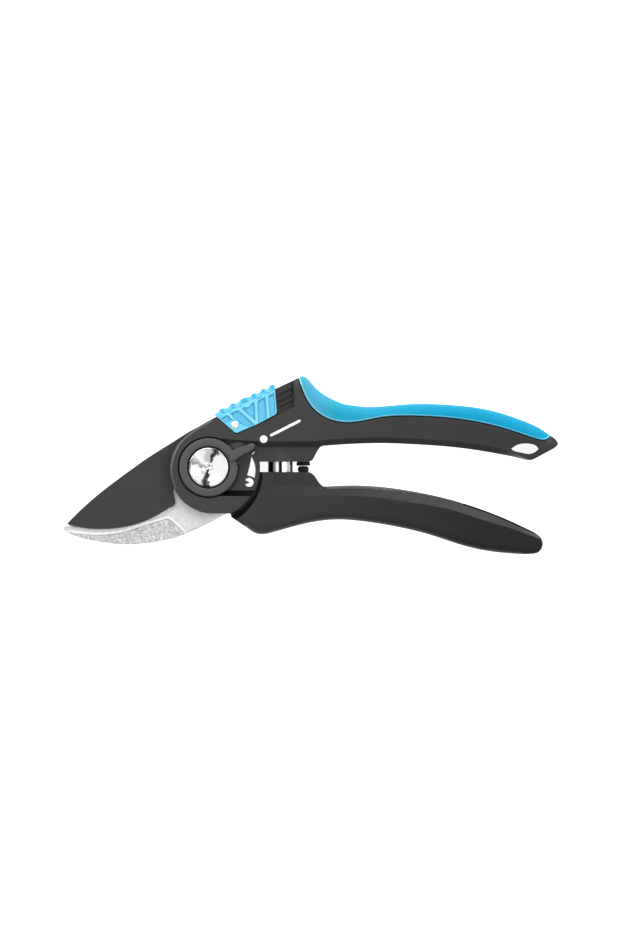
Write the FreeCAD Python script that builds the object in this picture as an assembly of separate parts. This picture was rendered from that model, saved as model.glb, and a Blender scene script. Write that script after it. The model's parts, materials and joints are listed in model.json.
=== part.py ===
import FreeCAD, Part
import math
import os

# Bypass pruner, closed and locked, lying flat. Millimetres.
# X runs from the pivot towards the handles, Y across the tool towards the upper handle,
# Z up through the thickness. The origin is on the pivot's axis, in the plane the tool lies on.
# "Upper" parts carry the hooked counter-blade. "Lower" parts carry the cutting blade.

# ---------------------------------------------------------------- driving dimensions

THICKNESS = 18.0              # both handles, through Z
MID = THICKNESS / 2

HOOK_Z = (5.0, 9.0)           # counter-blade
BLADE_Z = (9.05, 12.05)       # cutting blade
SLOT_Z = (5.0, 12.2)          # slot in the head that holds both blades
PLATE_Z = (3.0, 15.0)         # the lower level of the lugs and of the scale plate
BAND = 2.4                    # width of the sloped band between the two levels
BAND_FADE = 14.0              # length over which the band narrows to nothing at the tail
PLATE_EDGE = 8.6              # Y where the upper handle's lower level meets its band

HEAD_R = 21.8                 # round side of the upper handle's head
SHOULDER_R = 22.9             # hollow of the lower handle around that head
SLOT_R = 22.7
SHOULDER_STEP = (23.6, -0.7, -2.0)     # radius and centre of the wider hollow in both faces
SHOULDER_STEP_Z = 13.5
LEDGE_R = 21.0                # lower handle's ledge inside the slot, which closes the gap to view
LEDGE_Z = (9.3, 11.9)
LEDGE_ANGLES = (-65.0, -8.0)
HUB_R = 16.0

BOLT_HEAD_R = 8.35
BOLT_HEAD_Z = (15.2, 18.8)
BOLT_R = 4.0
BOLT_END_Z = 1.0
DISH_R = 7.6                  # hollow of the bolt head, at its top
DISH_DEPTH = 1.5
BOLT_RIM = 0.4
BUSHING_R = 6.0
RUNNING_GAP = 0.05            # radial clearance of the blade on its bushing
NUT_R = 6.95
NUT_T = 3.0
NUT_FLATS = 11.0
WASHER_T = 0.5

DIAL_R = 12.4
DIAL_BORE_R = 9.0
DIAL_RECESS_R = 13.1
DIAL_Z = (14.55, 18.7)
LEVER_ANGLE = 25.7
LEVER_R = 22.0
LEVER_HALF = (2.5, 1.4)       # half width at the ring and at the tip
LEVER_TOP = 19.8
DIAL_TURN = 46.0
CAM_R = (9.5, 12.0)
CAM_ANGLES = (100.0, 120.0)
WINDOW_R = (9.3, 12.2)
WINDOW_ANGLES = (48.0, 212.0)
LIMIT_PIN = (10.75, 200.0, 1.1)    # radius from the pivot, angle, pin radius

LUG_GAP = (-2.0, 2.35)        # Y of the two lugs' facing ends
SPRING_X = 30.5
SPRING_R = 5.25
SPRING_STRIP = 0.8
SPRING_PITCH = 1.2
SPRING_HALF_TURNS = 5
SPRING_REACH = 6.6            # how far the spring's ends go into the pockets
POCKET_R = (5.8, 3.6)         # spring pockets: mouth, bottom
POCKET_DEPTH = 8.5
BULGE_WALL = 1.1
BULGE_LENGTH = 5.7
BULGE_TAPER = 0.72            # far end of the wall over its mouth

STOP_X = 40.2
STUB_R = 2.9
BUMPER_R = 2.35
STOP_MEET = 0.6               # Y where the bumper's dome meets the stub
STOP_DEPTH = 4.0
CROWN_R = 3.6                 # the bumper's dome

SLIDE_ANGLE = 25.36           # the handle's straight top edge, and the slider's travel
SLIDE_TRAVEL = 7.5
CORE_Z = (2.4, 15.5)          # the rail that the slider's two cheeks straddle
CHEEK_FRONT = (15.6, 18.3)
CHEEK_BACK = (0.2, 2.3)
RAIL_CLEAR = 0.35
SLIDER_LIFT = 1.5             # how far the slider's bridge stands above the top edge
BRIDGE_X = (2.2, 28.6)        # its two ends, along the edge
BRIDGE_GAP = 0.15
KNURL_R = 0.85
KNURLS = (4.0, 8.6, 13.6, 18.4, 23.2, 27.6)    # places along the edge
RIB_HEIGHT = 0.5
RIB_HALF = 0.5
LOCK_PIN = (11.2, 18.0)
LOCK_PIN_R = 1.65
LOCK_PIN_Z = (9.4, 18.5)
LOCK_PLATE_Z = (14.2, 15.4)
LOCK_PLATE_HALF = 2.6
LOCK_PLATE_LENGTH = 9.0
LOCK_RELIEF_R = 19.2          # the blade's hub where the lock pin passes
LOBE_R = 22.0
DETENT_REACH = (6.0, 16.0)    # ends of the leaf spring, from the lock pin
DETENT_HALF = 1.5
DETENT_T = 0.6

GRIP_SKIN = 3.0               # rubber over the palm side
GRIP_CORE_Z = (3.2, 14.8)
TANG_PIN_R = 2.0
TANG_PIN_Z = (2.0, 16.0)
HOOK_PINS = ((40.0, 17.0), (74.0, 17.0))
BLADE_PINS = ((36.0, -16.4), (64.0, -16.4))
STRIP_Z = (3.2, 14.8)         # insert on the lower handle's inner edge
STRIP_DEPTH = 1.6
STRIP_X = (51.0, 108.0)
PEG_R = 1.2

FAR = 60.0                    # longer than anything it has to cut through


# ---------------------------------------------------------------- small helpers

def vec(x, y, z=0.0):
    return FreeCAD.Vector(x, y, z)


def polar(radius, degrees, z=0.0):
    a = math.radians(degrees)
    return vec(radius * math.cos(a), radius * math.sin(a), z)


def line(p, q):
    return Part.LineSegment(vec(*p), vec(*q)).toShape()


def curve(points):
    """One smooth curve through the points."""
    spline = Part.BSplineCurve()
    spline.interpolate([vec(*p) for p in points])
    return spline.toShape()


def pivot_arc(radius, start, end):
    """An arc about the pivot, in degrees."""
    middle = (start + end) / 2
    return Part.Arc(polar(radius, start), polar(radius, middle), polar(radius, end)).toShape()


def xy(point):
    return (point.x, point.y)


def prism(edges, z_low, z_high):
    """The solid between two heights that a closed run of edges bounds."""
    wire = Part.Wire(Part.__sortEdges__(edges))
    face = Part.Face(wire)
    face.translate(vec(0, 0, z_low))
    return face.extrude(vec(0, 0, z_high - z_low))


def polygon(points, z_low, z_high):
    closed = list(points) + [points[0]]
    return prism([line(p, q) for p, q in zip(closed, closed[1:])], z_low, z_high)


def disc(radius, z_low, z_high, x=0.0, y=0.0):
    return Part.makeCylinder(radius, z_high - z_low, vec(x, y, z_low))


def ring(outer, inner, z_low, z_high):
    return disc(outer, z_low, z_high).cut(disc(inner, z_low, z_high))


def ring_sector(outer, inner, start, end, z_low, z_high):
    edges = [
        pivot_arc(outer, start, end),
        line(xy(polar(outer, end)), xy(polar(inner, end))),
        pivot_arc(inner, end, start),
        line(xy(polar(inner, start)), xy(polar(outer, start))),
    ]
    return prism(edges, z_low, z_high)


def stadium(p, q, radius, z_low, z_high):
    """A slot-shaped block from p to q."""
    along = (vec(*q) - vec(*p)).normalize()
    side = vec(-along.y, along.x) * radius
    a, b = vec(*p), vec(*q)
    edges = [
        Part.LineSegment(a - side, b - side).toShape(),
        Part.Arc(b - side, b + along * radius, b + side).toShape(),
        Part.LineSegment(b + side, a + side).toShape(),
        Part.Arc(a + side, a - along * radius, a - side).toShape(),
    ]
    return prism(edges, z_low, z_high)


def across(radius_a, radius_b, x, y_a, y_b):
    """A cone or cylinder with its axis along Y at mid-thickness."""
    low, high = sorted((y_a, y_b))
    r_low, r_high = (radius_a, radius_b) if y_a < y_b else (radius_b, radius_a)
    base = vec(x, low, MID)
    if abs(r_low - r_high) < 1e-6:
        return Part.makeCylinder(r_low, high - low, base, vec(0, 1, 0))
    return Part.makeCone(r_low, r_high, high - low, base, vec(0, 1, 0))


def tapered(points_low, points_high, z_low, z_high):
    """A solid whose outline changes from one polygon to another, for sloped bands."""
    wires = []
    for points, z in ((points_low, z_low), (points_high, z_high)):
        corners = [vec(x, y, z) for x, y in points]
        wires.append(Part.makePolygon(corners + [corners[0]]))
    return Part.makeLoft(wires, True, True)


def finger_side_cut(edge, crest, away):
    """Slopes both faces down from a crest to the level of the plates at a handle's inner edge."""
    far = [(edge[-1][0], away), (edge[0][0], away)]
    cut = level_cut(list(edge) + far, list(crest) + far)
    return cut.fuse(mirrored(cut))


def mirrored(shape):
    """The same shape on the other face of the tool."""
    return shape.mirror(vec(0, 0, MID), vec(0, 0, 1))


def along_slide(point, distance):
    step = polar(distance, SLIDE_ANGLE)
    return (point[0] + step.x, point[1] + step.y)


# ---------------------------------------------------------------- outlines

TOP_EDGE_START = (2.3, 21.0)
TOP_EDGE_END = (38.2, 38.0)
HEAD_CORNER = (9.5, -19.6)

HEAD_LEFT = [
    TOP_EDGE_START, (-3.9, 17.5), (-9.6, 13.5), (-13.3, 9.4), (-15.5, 4.6), (-16.4, 0.0), (-16.0, -4.6),
    (-14.4, -9.4), (-9.6, -15.5), (-3.4, -18.9),
]
UNDERSIDE = [
    (49.2, 9.2), (60.9, 9.95), (74.4, 10.25), (88.0, 9.75), (101.6, 8.8), (115.2, 7.1), (128.7, 4.7),
]
TAIL_CORNER = [(128.7, 4.7), (134.4, 3.3), (136.5, 3.0), (138.6, 3.7)]
TAIL_END = [(146.2, 7.8), (148.3, 10.1), (147.2, 12.0), (145.2, 13.5)]
PALM = [
    (145.2, 13.5), (142.0, 15.8), (132.1, 20.4), (118.6, 24.5), (103.0, 26.5), (84.0, 26.8), (66.0, 25.8),
    (57.0, 27.0),
]
HORN = [(57.0, 27.0), (49.9, 30.4), (44.6, 34.8), (41.7, 38.0), (39.9, 38.8), TOP_EDGE_END]

GRIP_EDGE = [
    TOP_EDGE_END, (40.8, 30.7), (44.6, 24.9), (51.0, 20.6), (59.0, 19.1), (72.9, 21.2), (90.0, 21.8),
    (112.5, 19.6), (131.4, 14.7), (139.6, 12.0), (142.6, 11.7), (144.8, 13.0), (145.2, 13.5),
]

LOWER_INNER = [
    (48.9, -8.2), (60.9, -7.7), (74.4, -8.4), (88.0, -10.4), (101.6, -13.4), (115.2, -17.6), (128.7, -23.0),
    (138.4, -27.6),
]
LOWER_TAIL = [
    (138.4, -27.6), (141.3, -30.2), (141.9, -32.4), (141.3, -34.7), (139.8, -36.3), (137.0, -36.9),
    (131.0, -36.8),
]
LOWER_CREST = [
    (48.9, -12.0), (60.9, -12.1), (74.4, -13.2), (88.0, -15.2), (101.6, -17.7), (115.2, -21.9),
    (128.7, -26.1), (141.0, -30.6),
]
LOWER_PALM = [
    (131.0, -36.8), (122.0, -36.0), (108.4, -33.3), (94.8, -28.9), (81.2, -25.5), (67.7, -23.2),
    (56.0, -22.2), (45.0, -23.1), (33.7, -25.8), (25.2, -28.2),
]
LOWER_CORNER = [(25.2, -28.2), (20.6, -28.2), (16.0, -25.4)]


UPPER_LUG_END = [(42.8, LUG_GAP[1]), (43.8, 2.9), (44.8, 4.2), (46.8, 7.8), (47.8, 8.8), UNDERSIDE[0]]
LOWER_LUG_END = [(42.6, LUG_GAP[0]), (44.0, -2.7), (45.6, -4.5), (47.6, -7.2), LOWER_INNER[0]]
HANG_TOP = [(128.4, 7.9), (131.0, 9.65), (134.6, 10.3), (137.6, 10.0), (139.2, 9.1), (140.4, 7.6)]
HANG_BOTTOM = [(140.4, 7.6), (138.7, 6.4), (136.0, 5.55), (132.3, 6.15), (129.3, 7.0), (128.4, 7.9)]


def upper_outline():
    """The upper handle and head in plan, grip included."""
    head_top = xy(polar(HEAD_R, math.degrees(math.asin(LUG_GAP[1] / HEAD_R))))
    start = math.degrees(math.atan2(HEAD_CORNER[1], HEAD_CORNER[0]))
    end = math.degrees(math.atan2(head_top[1], head_top[0]))
    return [
        curve(HEAD_LEFT),
        curve([HEAD_LEFT[-1], (0.2, -19.55), (2.5, -19.6)]),
        line((2.5, -19.6), xy(polar(HEAD_R, start))),
        pivot_arc(HEAD_R, start, end),
        line(head_top, UPPER_LUG_END[0]),
        curve(UPPER_LUG_END),
        curve(UNDERSIDE),
        curve(TAIL_CORNER),
        line(TAIL_CORNER[-1], TAIL_END[0]),
        curve(TAIL_END),
        curve(PALM),
        curve(HORN),
        line(TOP_EDGE_END, TOP_EDGE_START),
    ]


def lower_outline():
    lug_start_angle = math.degrees(math.asin(LUG_GAP[0] / SHOULDER_R))
    corner = polar(SHOULDER_R, -66.0)
    return [
        pivot_arc(SHOULDER_R, -66.0, lug_start_angle),
        line(xy(polar(SHOULDER_R, lug_start_angle)), LOWER_LUG_END[0]),
        curve(LOWER_LUG_END),
        curve(LOWER_INNER),
        curve(LOWER_TAIL),
        curve(LOWER_PALM),
        curve(LOWER_CORNER),
        line(LOWER_CORNER[-1], xy(corner)),
    ]


def blade_outline():
    """The cutting blade: pointed blade, hub with its lock relief and lobe, and tang."""
    spine = [
        (-60.5, -24.2), (-55.4, -19.0), (-45.2, -10.1), (-35.0, -2.4), (-24.8, 4.8), (-14.6, 11.2),
        (-7.0, 15.9),
    ]
    relief_start = polar(LOCK_RELIEF_R, 90.0)
    relief_end = polar(LOCK_RELIEF_R, 53.0)
    lobe_start = polar(LOBE_R, 50.0)
    lobe_end = polar(LOBE_R, 38.0)
    hub_top = polar(HUB_R, 28.0)
    hub_right = polar(HUB_R, -22.0)
    heel = (-14.3, -15.4)
    hub_bottom = polar(HUB_R, -75.0)
    hub_left = polar(HUB_R, -152.0)
    edge = [
        (-15.9, -17.1), (-20.6, -20.0), (-29.1, -24.0), (-37.5, -26.0), (-46.0, -26.6), (-54.5, -25.9),
        spine[0],
    ]
    return [
        curve(spine + [xy(relief_start)]),
        pivot_arc(LOCK_RELIEF_R, 90.0, 53.0),
        line(xy(relief_end), xy(lobe_start)),
        pivot_arc(LOBE_R, 50.0, 38.0),
        line(xy(lobe_end), xy(hub_top)),
        pivot_arc(HUB_R, 28.0, -22.0),
        curve([xy(hub_right), (24.0, -11.0), (46.0, -13.0), (73.0, -14.6)]),
        Part.Arc(vec(73.0, -14.6), vec(75.2, -17.0), vec(73.0, -19.4)).toShape(),
        curve([(73.0, -19.4), (46.0, -18.6), (26.0, -20.8), (14.0, -19.0), xy(hub_bottom)]),
        pivot_arc(HUB_R, -75.0, -152.0),
        line(xy(hub_left), heel),
        line(heel, edge[0]),
        curve(edge),
    ]


def hook_outline():
    """The counter-blade: hook, hub and tang."""
    outer = [
        (-60.4, -27.7), (-55.4, -29.8), (-50.3, -31.1), (-42.6, -32.4), (-35.0, -33.0), (-27.4, -32.5),
        (-19.7, -31.4), (-12.1, -29.4), (-4.5, -26.3), (3.2, -22.4), (8.6, -19.4),
    ]
    inner = [
        (-61.9, -25.0), (-54.0, -24.4), (-46.0, -24.8), (-37.0, -24.2), (-29.0, -22.0), (-21.0, -17.8),
        (-15.2, -11.5),
    ]
    hub_r = 20.8
    start = math.degrees(math.atan2(outer[-1][1], outer[-1][0]))
    return [
        Part.Arc(vec(*inner[0]), vec(-62.0, -26.4), vec(*outer[0])).toShape(),
        curve(outer),
        line(outer[-1], xy(polar(hub_r, start))),
        pivot_arc(hub_r, start, 30.0),
        curve([xy(polar(hub_r, 30.0)), (24.0, 12.6), (40.0, 13.2), (88.0, 15.4)]),
        Part.Arc(vec(88.0, 15.4), vec(90.2, 17.5), vec(88.0, 19.6)).toShape(),
        curve([(88.0, 19.6), (60.0, 18.6), (36.0, 20.0), (16.0, 20.2), (4.0, 18.0)]),
        curve([(4.0, 18.0), (-5.0, 14.2), xy(polar(15.2, 143.0))]),
        pivot_arc(15.2, 143.0, math.degrees(math.atan2(inner[-1][1], inner[-1][0])) + 360.0),
        line(xy(polar(15.2, math.degrees(math.atan2(inner[-1][1], inner[-1][0])))), inner[-1]),
        curve(inner[::-1]),
    ]


SLIDER = [
    (2.4, 22.4), (11.6, 14.3), (21.1, 18.4), (29.1, 22.7), (28.7, 34.6), (23.0, 32.2), (4.9, 24.5),
]


# ---------------------------------------------------------------- upper side

def spring_pocket(side):
    """Conical pocket in a lug; side is +1 for the upper lug and -1 for the lower."""
    mouth = LUG_GAP[1] if side > 0 else LUG_GAP[0]
    cone = across(POCKET_R[0], POCKET_R[1], SPRING_X, mouth, mouth + side * POCKET_DEPTH)
    lead = across(POCKET_R[0], POCKET_R[0], SPRING_X, mouth, mouth - side * 1.0)
    return cone.fuse(lead)


def spring_bulge(side):
    """The wall around a pocket where it stands proud of the lug plate."""
    mouth = LUG_GAP[1] if side > 0 else LUG_GAP[0]
    wide = POCKET_R[0] + BULGE_WALL
    return across(wide, wide * BULGE_TAPER, SPRING_X, mouth, mouth + side * BULGE_LENGTH)


def level_cut(low, high):
    """Takes a lug or plate down to the lower level on the front face."""
    return tapered(low, high, PLATE_Z[1], THICKNESS + 0.01)


def slider_rail_cut():
    """The steps in both faces that leave the rail for the slider's cheeks."""
    far_end = [along_slide(p, SLIDE_TRAVEL + RAIL_CLEAR) for p in SLIDER[3:5]]
    below = [(p[0] + RAIL_CLEAR * 0.6, p[1] - RAIL_CLEAR) for p in SLIDER[1:3]]
    region = [(-1.2, 24.6), (1.6, 22.5), below[0], below[1], (far_end[0][0], far_end[0][1] - RAIL_CLEAR)]
    region += [(far_end[1][0] + 0.1, far_end[1][1] + 6.0), (-1.0, 30.0)]
    front = polygon(region, CORE_Z[1], THICKNESS + 1.0)
    back = polygon(region, -1.0, CORE_Z[0])
    return front.fuse(back)


def lock_slots():
    """The lock plate's groove and the lock pin's slot in the head's front wall."""
    groove_end = along_slide(LOCK_PIN, LOCK_PLATE_LENGTH + SLIDE_TRAVEL + 0.2)
    groove = stadium(LOCK_PIN, groove_end, LOCK_PLATE_HALF + 0.2, LOCK_PLATE_Z[0] - 0.2, THICKNESS)
    slot_end = along_slide(LOCK_PIN, SLIDE_TRAVEL + 0.2)
    slot = stadium(LOCK_PIN, slot_end, LOCK_PIN_R + 0.2, LOCK_PIN_Z[0] - 0.2, THICKNESS)
    return groove.fuse(slot)


def hang_hole():
    """Leaf-shaped hole through the tail, narrow towards the head."""
    return prism([curve(HANG_TOP), curve(HANG_BOTTOM)], -1.0, THICKNESS + 1.0)


def grip_region():
    """Everything above the rubber's lower boundary."""
    first, last = GRIP_EDGE[0], GRIP_EDGE[-1]
    edges = [
        curve(GRIP_EDGE),
        line(last, (last[0] + 10.0, 50.0)),
        line((last[0] + 10.0, 50.0), (first[0], 50.0)),
        line((first[0], 50.0), first),
    ]
    return prism(edges, -1.0, THICKNESS + 1.0)


def make_upper_parts():
    blank = prism(upper_outline(), 0.0, THICKNESS)

    core = prism(upper_outline(), *GRIP_CORE_Z)
    core.translate(vec(-0.5, -GRIP_SKIN, 0))
    grip = blank.common(grip_region()).cut(core)

    handle = blank.cut(grip)
    low, high = PLATE_EDGE, PLATE_EDGE + BAND
    plate_low = [(8.0, -9.8), (23.0, -9.8), (23.0, 0.0), (49.5, 0.0), (47.6, low), (8.0, low)]
    plate_high = [(8.0, -12.2), (24.0, -12.2), (24.0, -1.0), (52.0, -1.0), (50.5, high), (8.0, high)]
    handle = handle.cut(level_cut(plate_low, plate_high))
    lug_low = [(29.0, 0.0), (49.5, 0.0), (47.6, low), (29.0, low)]
    lug_high = [(26.6, -1.0), (52.0, -1.0), (50.5, high), (26.6, high)]
    handle = handle.cut(mirrored(level_cut(lug_low, lug_high)))
    edge = [(46.0, PLATE_EDGE)] + UNDERSIDE + TAIL_CORNER[1:3]
    fade = edge[-1][0] + 1.0
    crest = [(x, y + BAND * min(1.0, (fade - x) / BAND_FADE)) for x, y in edge]
    handle = handle.cut(finger_side_cut(edge, crest, -5.0))
    handle = handle.fuse(spring_bulge(+1))
    handle = handle.cut(slider_rail_cut())
    handle = handle.cut(disc(SLOT_R, *SLOT_Z))
    handle = handle.cut(lock_slots())
    handle = handle.cut(hang_hole())
    handle = handle.cut(spring_pocket(+1))
    handle = handle.cut(across(STUB_R, STUB_R, STOP_X, LUG_GAP[1] - 1.0, LUG_GAP[1] + STOP_DEPTH))
    handle = handle.cut(disc(DIAL_RECESS_R, DIAL_Z[0] - 0.05, FAR))
    handle = handle.cut(lever_path())
    handle = handle.cut(disc(7.6, DIAL_Z[0] - 0.55, FAR))
    handle = handle.cut(ring_sector(WINDOW_R[1], WINDOW_R[0], *WINDOW_ANGLES, SLOT_Z[1] - 1.0, FAR))
    handle = handle.cut(disc(BOLT_R, 0.0, THICKNESS))
    handle = handle.cut(disc(NUT_R + 0.25, -1.0, NUT_T + WASHER_T))
    hook = prism(hook_outline(), *HOOK_Z)
    handle = handle.cut(hook)
    pins = tang_pins(HOOK_PINS)
    handle = handle.cut(pins)
    hook = hook.cut(pins).cut(disc(BUSHING_R, *HOOK_Z))
    spring_slot = detent_spring(0.1)
    handle = handle.cut(spring_slot)
    return {
        "upper_handle": handle,
        "upper_grip": grip,
        "counter_blade": hook,
        "counter_blade_pins": pins,
        "lock_detent_spring": detent_spring(0.0),
    }


def tang_pins(places):
    return Part.makeCompound([disc(TANG_PIN_R, *TANG_PIN_Z, *place) for place in places])


def detent_spring(grow):
    """A small leaf spring in the rail's back face, under the slider's rear cheek."""
    start, end = [along_slide(LOCK_PIN, reach) for reach in DETENT_REACH]
    return stadium(start, end, DETENT_HALF + grow, CORE_Z[0], CORE_Z[0] + DETENT_T)


def make_pivot_parts():
    head = disc(BOLT_HEAD_R, *BOLT_HEAD_Z)
    rim = [edge for edge in head.Edges if edge.BoundBox.ZMin > BOLT_HEAD_Z[1] - 0.01]
    head = head.makeFillet(BOLT_RIM, rim)
    dish_r = (DISH_R ** 2 + DISH_DEPTH ** 2) / (2 * DISH_DEPTH)
    dish = Part.makeSphere(dish_r, vec(0, 0, BOLT_HEAD_Z[1] - DISH_DEPTH + dish_r))
    bolt = head.cut(dish).fuse(disc(BOLT_R, BOLT_END_Z, BOLT_HEAD_Z[0]))
    half = NUT_FLATS / 2
    between_flats = polygon([(-NUT_R, -half), (NUT_R, -half), (NUT_R, half), (-NUT_R, half)], 0, NUT_T)
    nut = disc(NUT_R, 0.0, NUT_T).common(between_flats).cut(disc(BOLT_R, BOLT_END_Z, NUT_T))
    return {
        "pivot_bolt": bolt,
        "pivot_nut": nut,
        "rear_washer": ring(NUT_R - 0.3, BOLT_R, NUT_T, NUT_T + WASHER_T),
        "pivot_bushing": ring(BUSHING_R, BOLT_R, HOOK_Z[0], SLOT_Z[1]),
        "dial_spring_washer": ring(7.4, BOLT_R + 0.6, DIAL_Z[0] - 0.55, DIAL_Z[0] - 0.1),
    }


def make_stop_parts():
    stub = across(STUB_R, STUB_R, STOP_X, STOP_MEET + 0.05, LUG_GAP[1] + STOP_DEPTH)
    post = across(BUMPER_R, BUMPER_R, STOP_X, LUG_GAP[0] - STOP_DEPTH, STOP_MEET - 0.9)
    crown = Part.makeSphere(CROWN_R, vec(STOP_X, STOP_MEET - 0.05 - CROWN_R, MID))
    column = across(BUMPER_R, BUMPER_R, STOP_X, LUG_GAP[0] - STOP_DEPTH, STOP_MEET)
    bumper = column.common(crown).fuse(post)
    return {"stop_stub": stub, "bumper": bumper}


# ---------------------------------------------------------------- lower side

def make_lower_parts():
    handle = prism(lower_outline(), 0.0, THICKNESS)
    plate_low = [(18.0, 0.0), (50.5, 0.0), (49.0, -7.7), (18.0, -7.7)]
    plate_high = [(18.0, 1.0), (53.0, 1.0), (52.0, -7.7 - BAND), (18.0, -7.7 - BAND)]
    cut = level_cut(plate_low, plate_high)
    handle = handle.cut(cut).cut(mirrored(cut))
    handle = handle.cut(finger_side_cut(LOWER_INNER, LOWER_CREST, 10.0))
    handle = handle.fuse(spring_bulge(-1))
    handle = handle.cut(disc(SHOULDER_R, -1.0, FAR))
    step_r, step_x, step_y = SHOULDER_STEP
    step = disc(step_r, SHOULDER_STEP_Z, FAR, step_x, step_y)
    handle = handle.cut(step).cut(mirrored(step))
    handle = handle.fuse(ring_sector(SHOULDER_R + 0.4, LEDGE_R, *LEDGE_ANGLES, *LEDGE_Z))
    handle = handle.cut(spring_pocket(-1))
    handle = handle.cut(across(BUMPER_R, BUMPER_R, STOP_X, LUG_GAP[0] - STOP_DEPTH, LUG_GAP[0] + 1.0))
    handle = handle.cut(ring_sector(26.2, 20.0, -70.0, -52.0, HOOK_Z[0] - 0.4, HOOK_Z[1] + 0.05))

    blade = prism(blade_outline(), *BLADE_Z)
    handle = handle.cut(blade)
    pins = tang_pins(BLADE_PINS)
    handle = handle.cut(pins)
    limit_r, limit_angle, pin_r = LIMIT_PIN
    limit_at = polar(limit_r, limit_angle)
    limit_pin = disc(pin_r, BLADE_Z[0] + 0.5, SLOT_Z[1] + 1.9, limit_at.x, limit_at.y)
    blade = blade.cut(pins).cut(limit_pin).cut(disc(BUSHING_R + RUNNING_GAP, *BLADE_Z))

    first, last = STRIP_X
    strip_block = polygon([(first, 0), (last, 0), (last, -FAR), (first, -FAR)], *STRIP_Z)
    shifted = prism(lower_outline(), *STRIP_Z)
    shifted.translate(vec(0, -STRIP_DEPTH, 0))
    top_half = curve(LOWER_INNER)
    strip = handle.common(strip_block).cut(shifted)
    strip = max(strip.Solids, key=lambda s: top_half.distToShape(s)[0] < 0.1 and s.Volume)
    handle = handle.cut(strip)

    peg = across(PEG_R, PEG_R, SPRING_X, LUG_GAP[0] - POCKET_DEPTH, LUG_GAP[0] - 1.0)
    return {
        "lower_handle": handle,
        "cutting_blade": blade,
        "cutting_blade_pins": pins,
        "limit_pin": limit_pin,
        "lower_inner_strip": strip,
        "spring_peg": peg,
    }


def spiral(inset):
    """One side of the spring's strip, seen along its axis: half turns that shrink inwards."""
    edges = []
    for k in range(SPRING_HALF_TURNS):
        centre = SPRING_X - (SPRING_PITCH / 2 if k % 2 else 0.0)
        radius = SPRING_R - k * SPRING_PITCH / 2 - inset
        side = -1 if k % 2 else 1
        first = vec(centre + side * radius, 0, MID)
        middle = vec(centre, 0, MID + side * radius)
        last = vec(centre - side * radius, 0, MID)
        edges.append(Part.Arc(first, middle, last).toShape())
    return edges


def make_spring():
    """Volute spring, compressed: a strip wound on edge, its inner turns standing out at both ends."""
    outer, inner = spiral(0.0), spiral(SPRING_STRIP)
    start = Part.LineSegment(outer[0].Vertexes[0].Point, inner[0].Vertexes[0].Point).toShape()
    end = Part.LineSegment(outer[-1].Vertexes[-1].Point, inner[-1].Vertexes[-1].Point).toShape()
    face = Part.Face(Part.Wire(Part.__sortEdges__(outer + inner + [start, end])))
    low, high = LUG_GAP[0] - SPRING_REACH, LUG_GAP[1] + SPRING_REACH
    face.translate(vec(0, low, 0))
    strip = face.extrude(vec(0, high - low, 0))
    wide, narrow = SPRING_R + 0.3, SPRING_R - 2.0
    profile = [
        (0.0, low), (narrow, low), (wide, LUG_GAP[0] - 0.6),
        (wide, LUG_GAP[1] + 0.6), (narrow, high), (0.0, high),
    ]
    corners = [vec(SPRING_X + x, y, MID) for x, y in profile]
    half = Part.Face(Part.makePolygon(corners + [corners[0]]))
    envelope = half.revolve(vec(SPRING_X, 0, MID), vec(0, 1, 0), 360)
    return {"volute_spring": strip.common(envelope)}


# ---------------------------------------------------------------- lock and dial

def make_lock_parts():
    front = polygon(SLIDER, *CHEEK_FRONT)
    rear_outline = [SLIDER[0], (11.6, 16.6), (21.1, 20.6), (29.0, 24.4)] + SLIDER[4:]
    rear = polygon(rear_outline, *CHEEK_BACK)
    lift = polar(SLIDER_LIFT, SLIDE_ANGLE + 90.0)
    start, end = [along_slide(TOP_EDGE_START, x) for x in BRIDGE_X]
    clear = polar(BRIDGE_GAP, SLIDE_ANGLE + 90.0)
    bridge = polygon(
        [
            (start[0] + clear.x, start[1] + clear.y),
            (end[0] + clear.x, end[1] + clear.y),
            (end[0] + lift.x, end[1] + lift.y),
            (start[0] + lift.x, start[1] + lift.y),
        ],
        CHEEK_BACK[0],
        CHEEK_FRONT[1],
    )
    slider = front.fuse(rear).fuse(bridge)
    for distance in KNURLS:
        at = along_slide(TOP_EDGE_START, distance)
        tip = (at[0] + lift.x, at[1] + lift.y)
        slider = slider.fuse(disc(KNURL_R, CHEEK_BACK[0], CHEEK_FRONT[1], *tip))
    ribs = [
        ((6.2, 24.4), (9.8, 20.6)),
        ((11.4, 26.4), (19.6, 18.8)),
        ((19.7, 30.4), (20.6, 19.0)),
        ((24.2, 32.2), (25.2, 21.4)),
    ]
    for low, high in ribs:
        rib = stadium(low, high, RIB_HALF, CHEEK_FRONT[1] - 0.2, CHEEK_FRONT[1] + RIB_HEIGHT)
        slider = slider.fuse(rib)
    slider = slider.cut(disc(LOCK_PIN_R, CORE_Z[1], FAR, *LOCK_PIN))
    plate = stadium(LOCK_PIN, along_slide(LOCK_PIN, LOCK_PLATE_LENGTH), LOCK_PLATE_HALF, *LOCK_PLATE_Z)
    pin = disc(LOCK_PIN_R, *LOCK_PIN_Z, *LOCK_PIN)
    return {"lock_slider": slider, "lock_plate": plate.cut(pin), "lock_pin": pin}


def lever_block(z_low, z_high, grow=0.0):
    """The dial's tapered lever in its resting place."""
    root, tip, reach = LEVER_HALF[0] + grow, LEVER_HALF[1] + grow, LEVER_R + grow
    inside = DIAL_R - 1.8
    outline = [(inside, -root), (reach - 0.6, -tip), (reach, 0.0), (reach - 0.6, tip), (inside, root)]
    block = polygon(outline, z_low, z_high)
    block.rotate(vec(0, 0), vec(0, 0, 1), LEVER_ANGLE)
    return block


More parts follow.
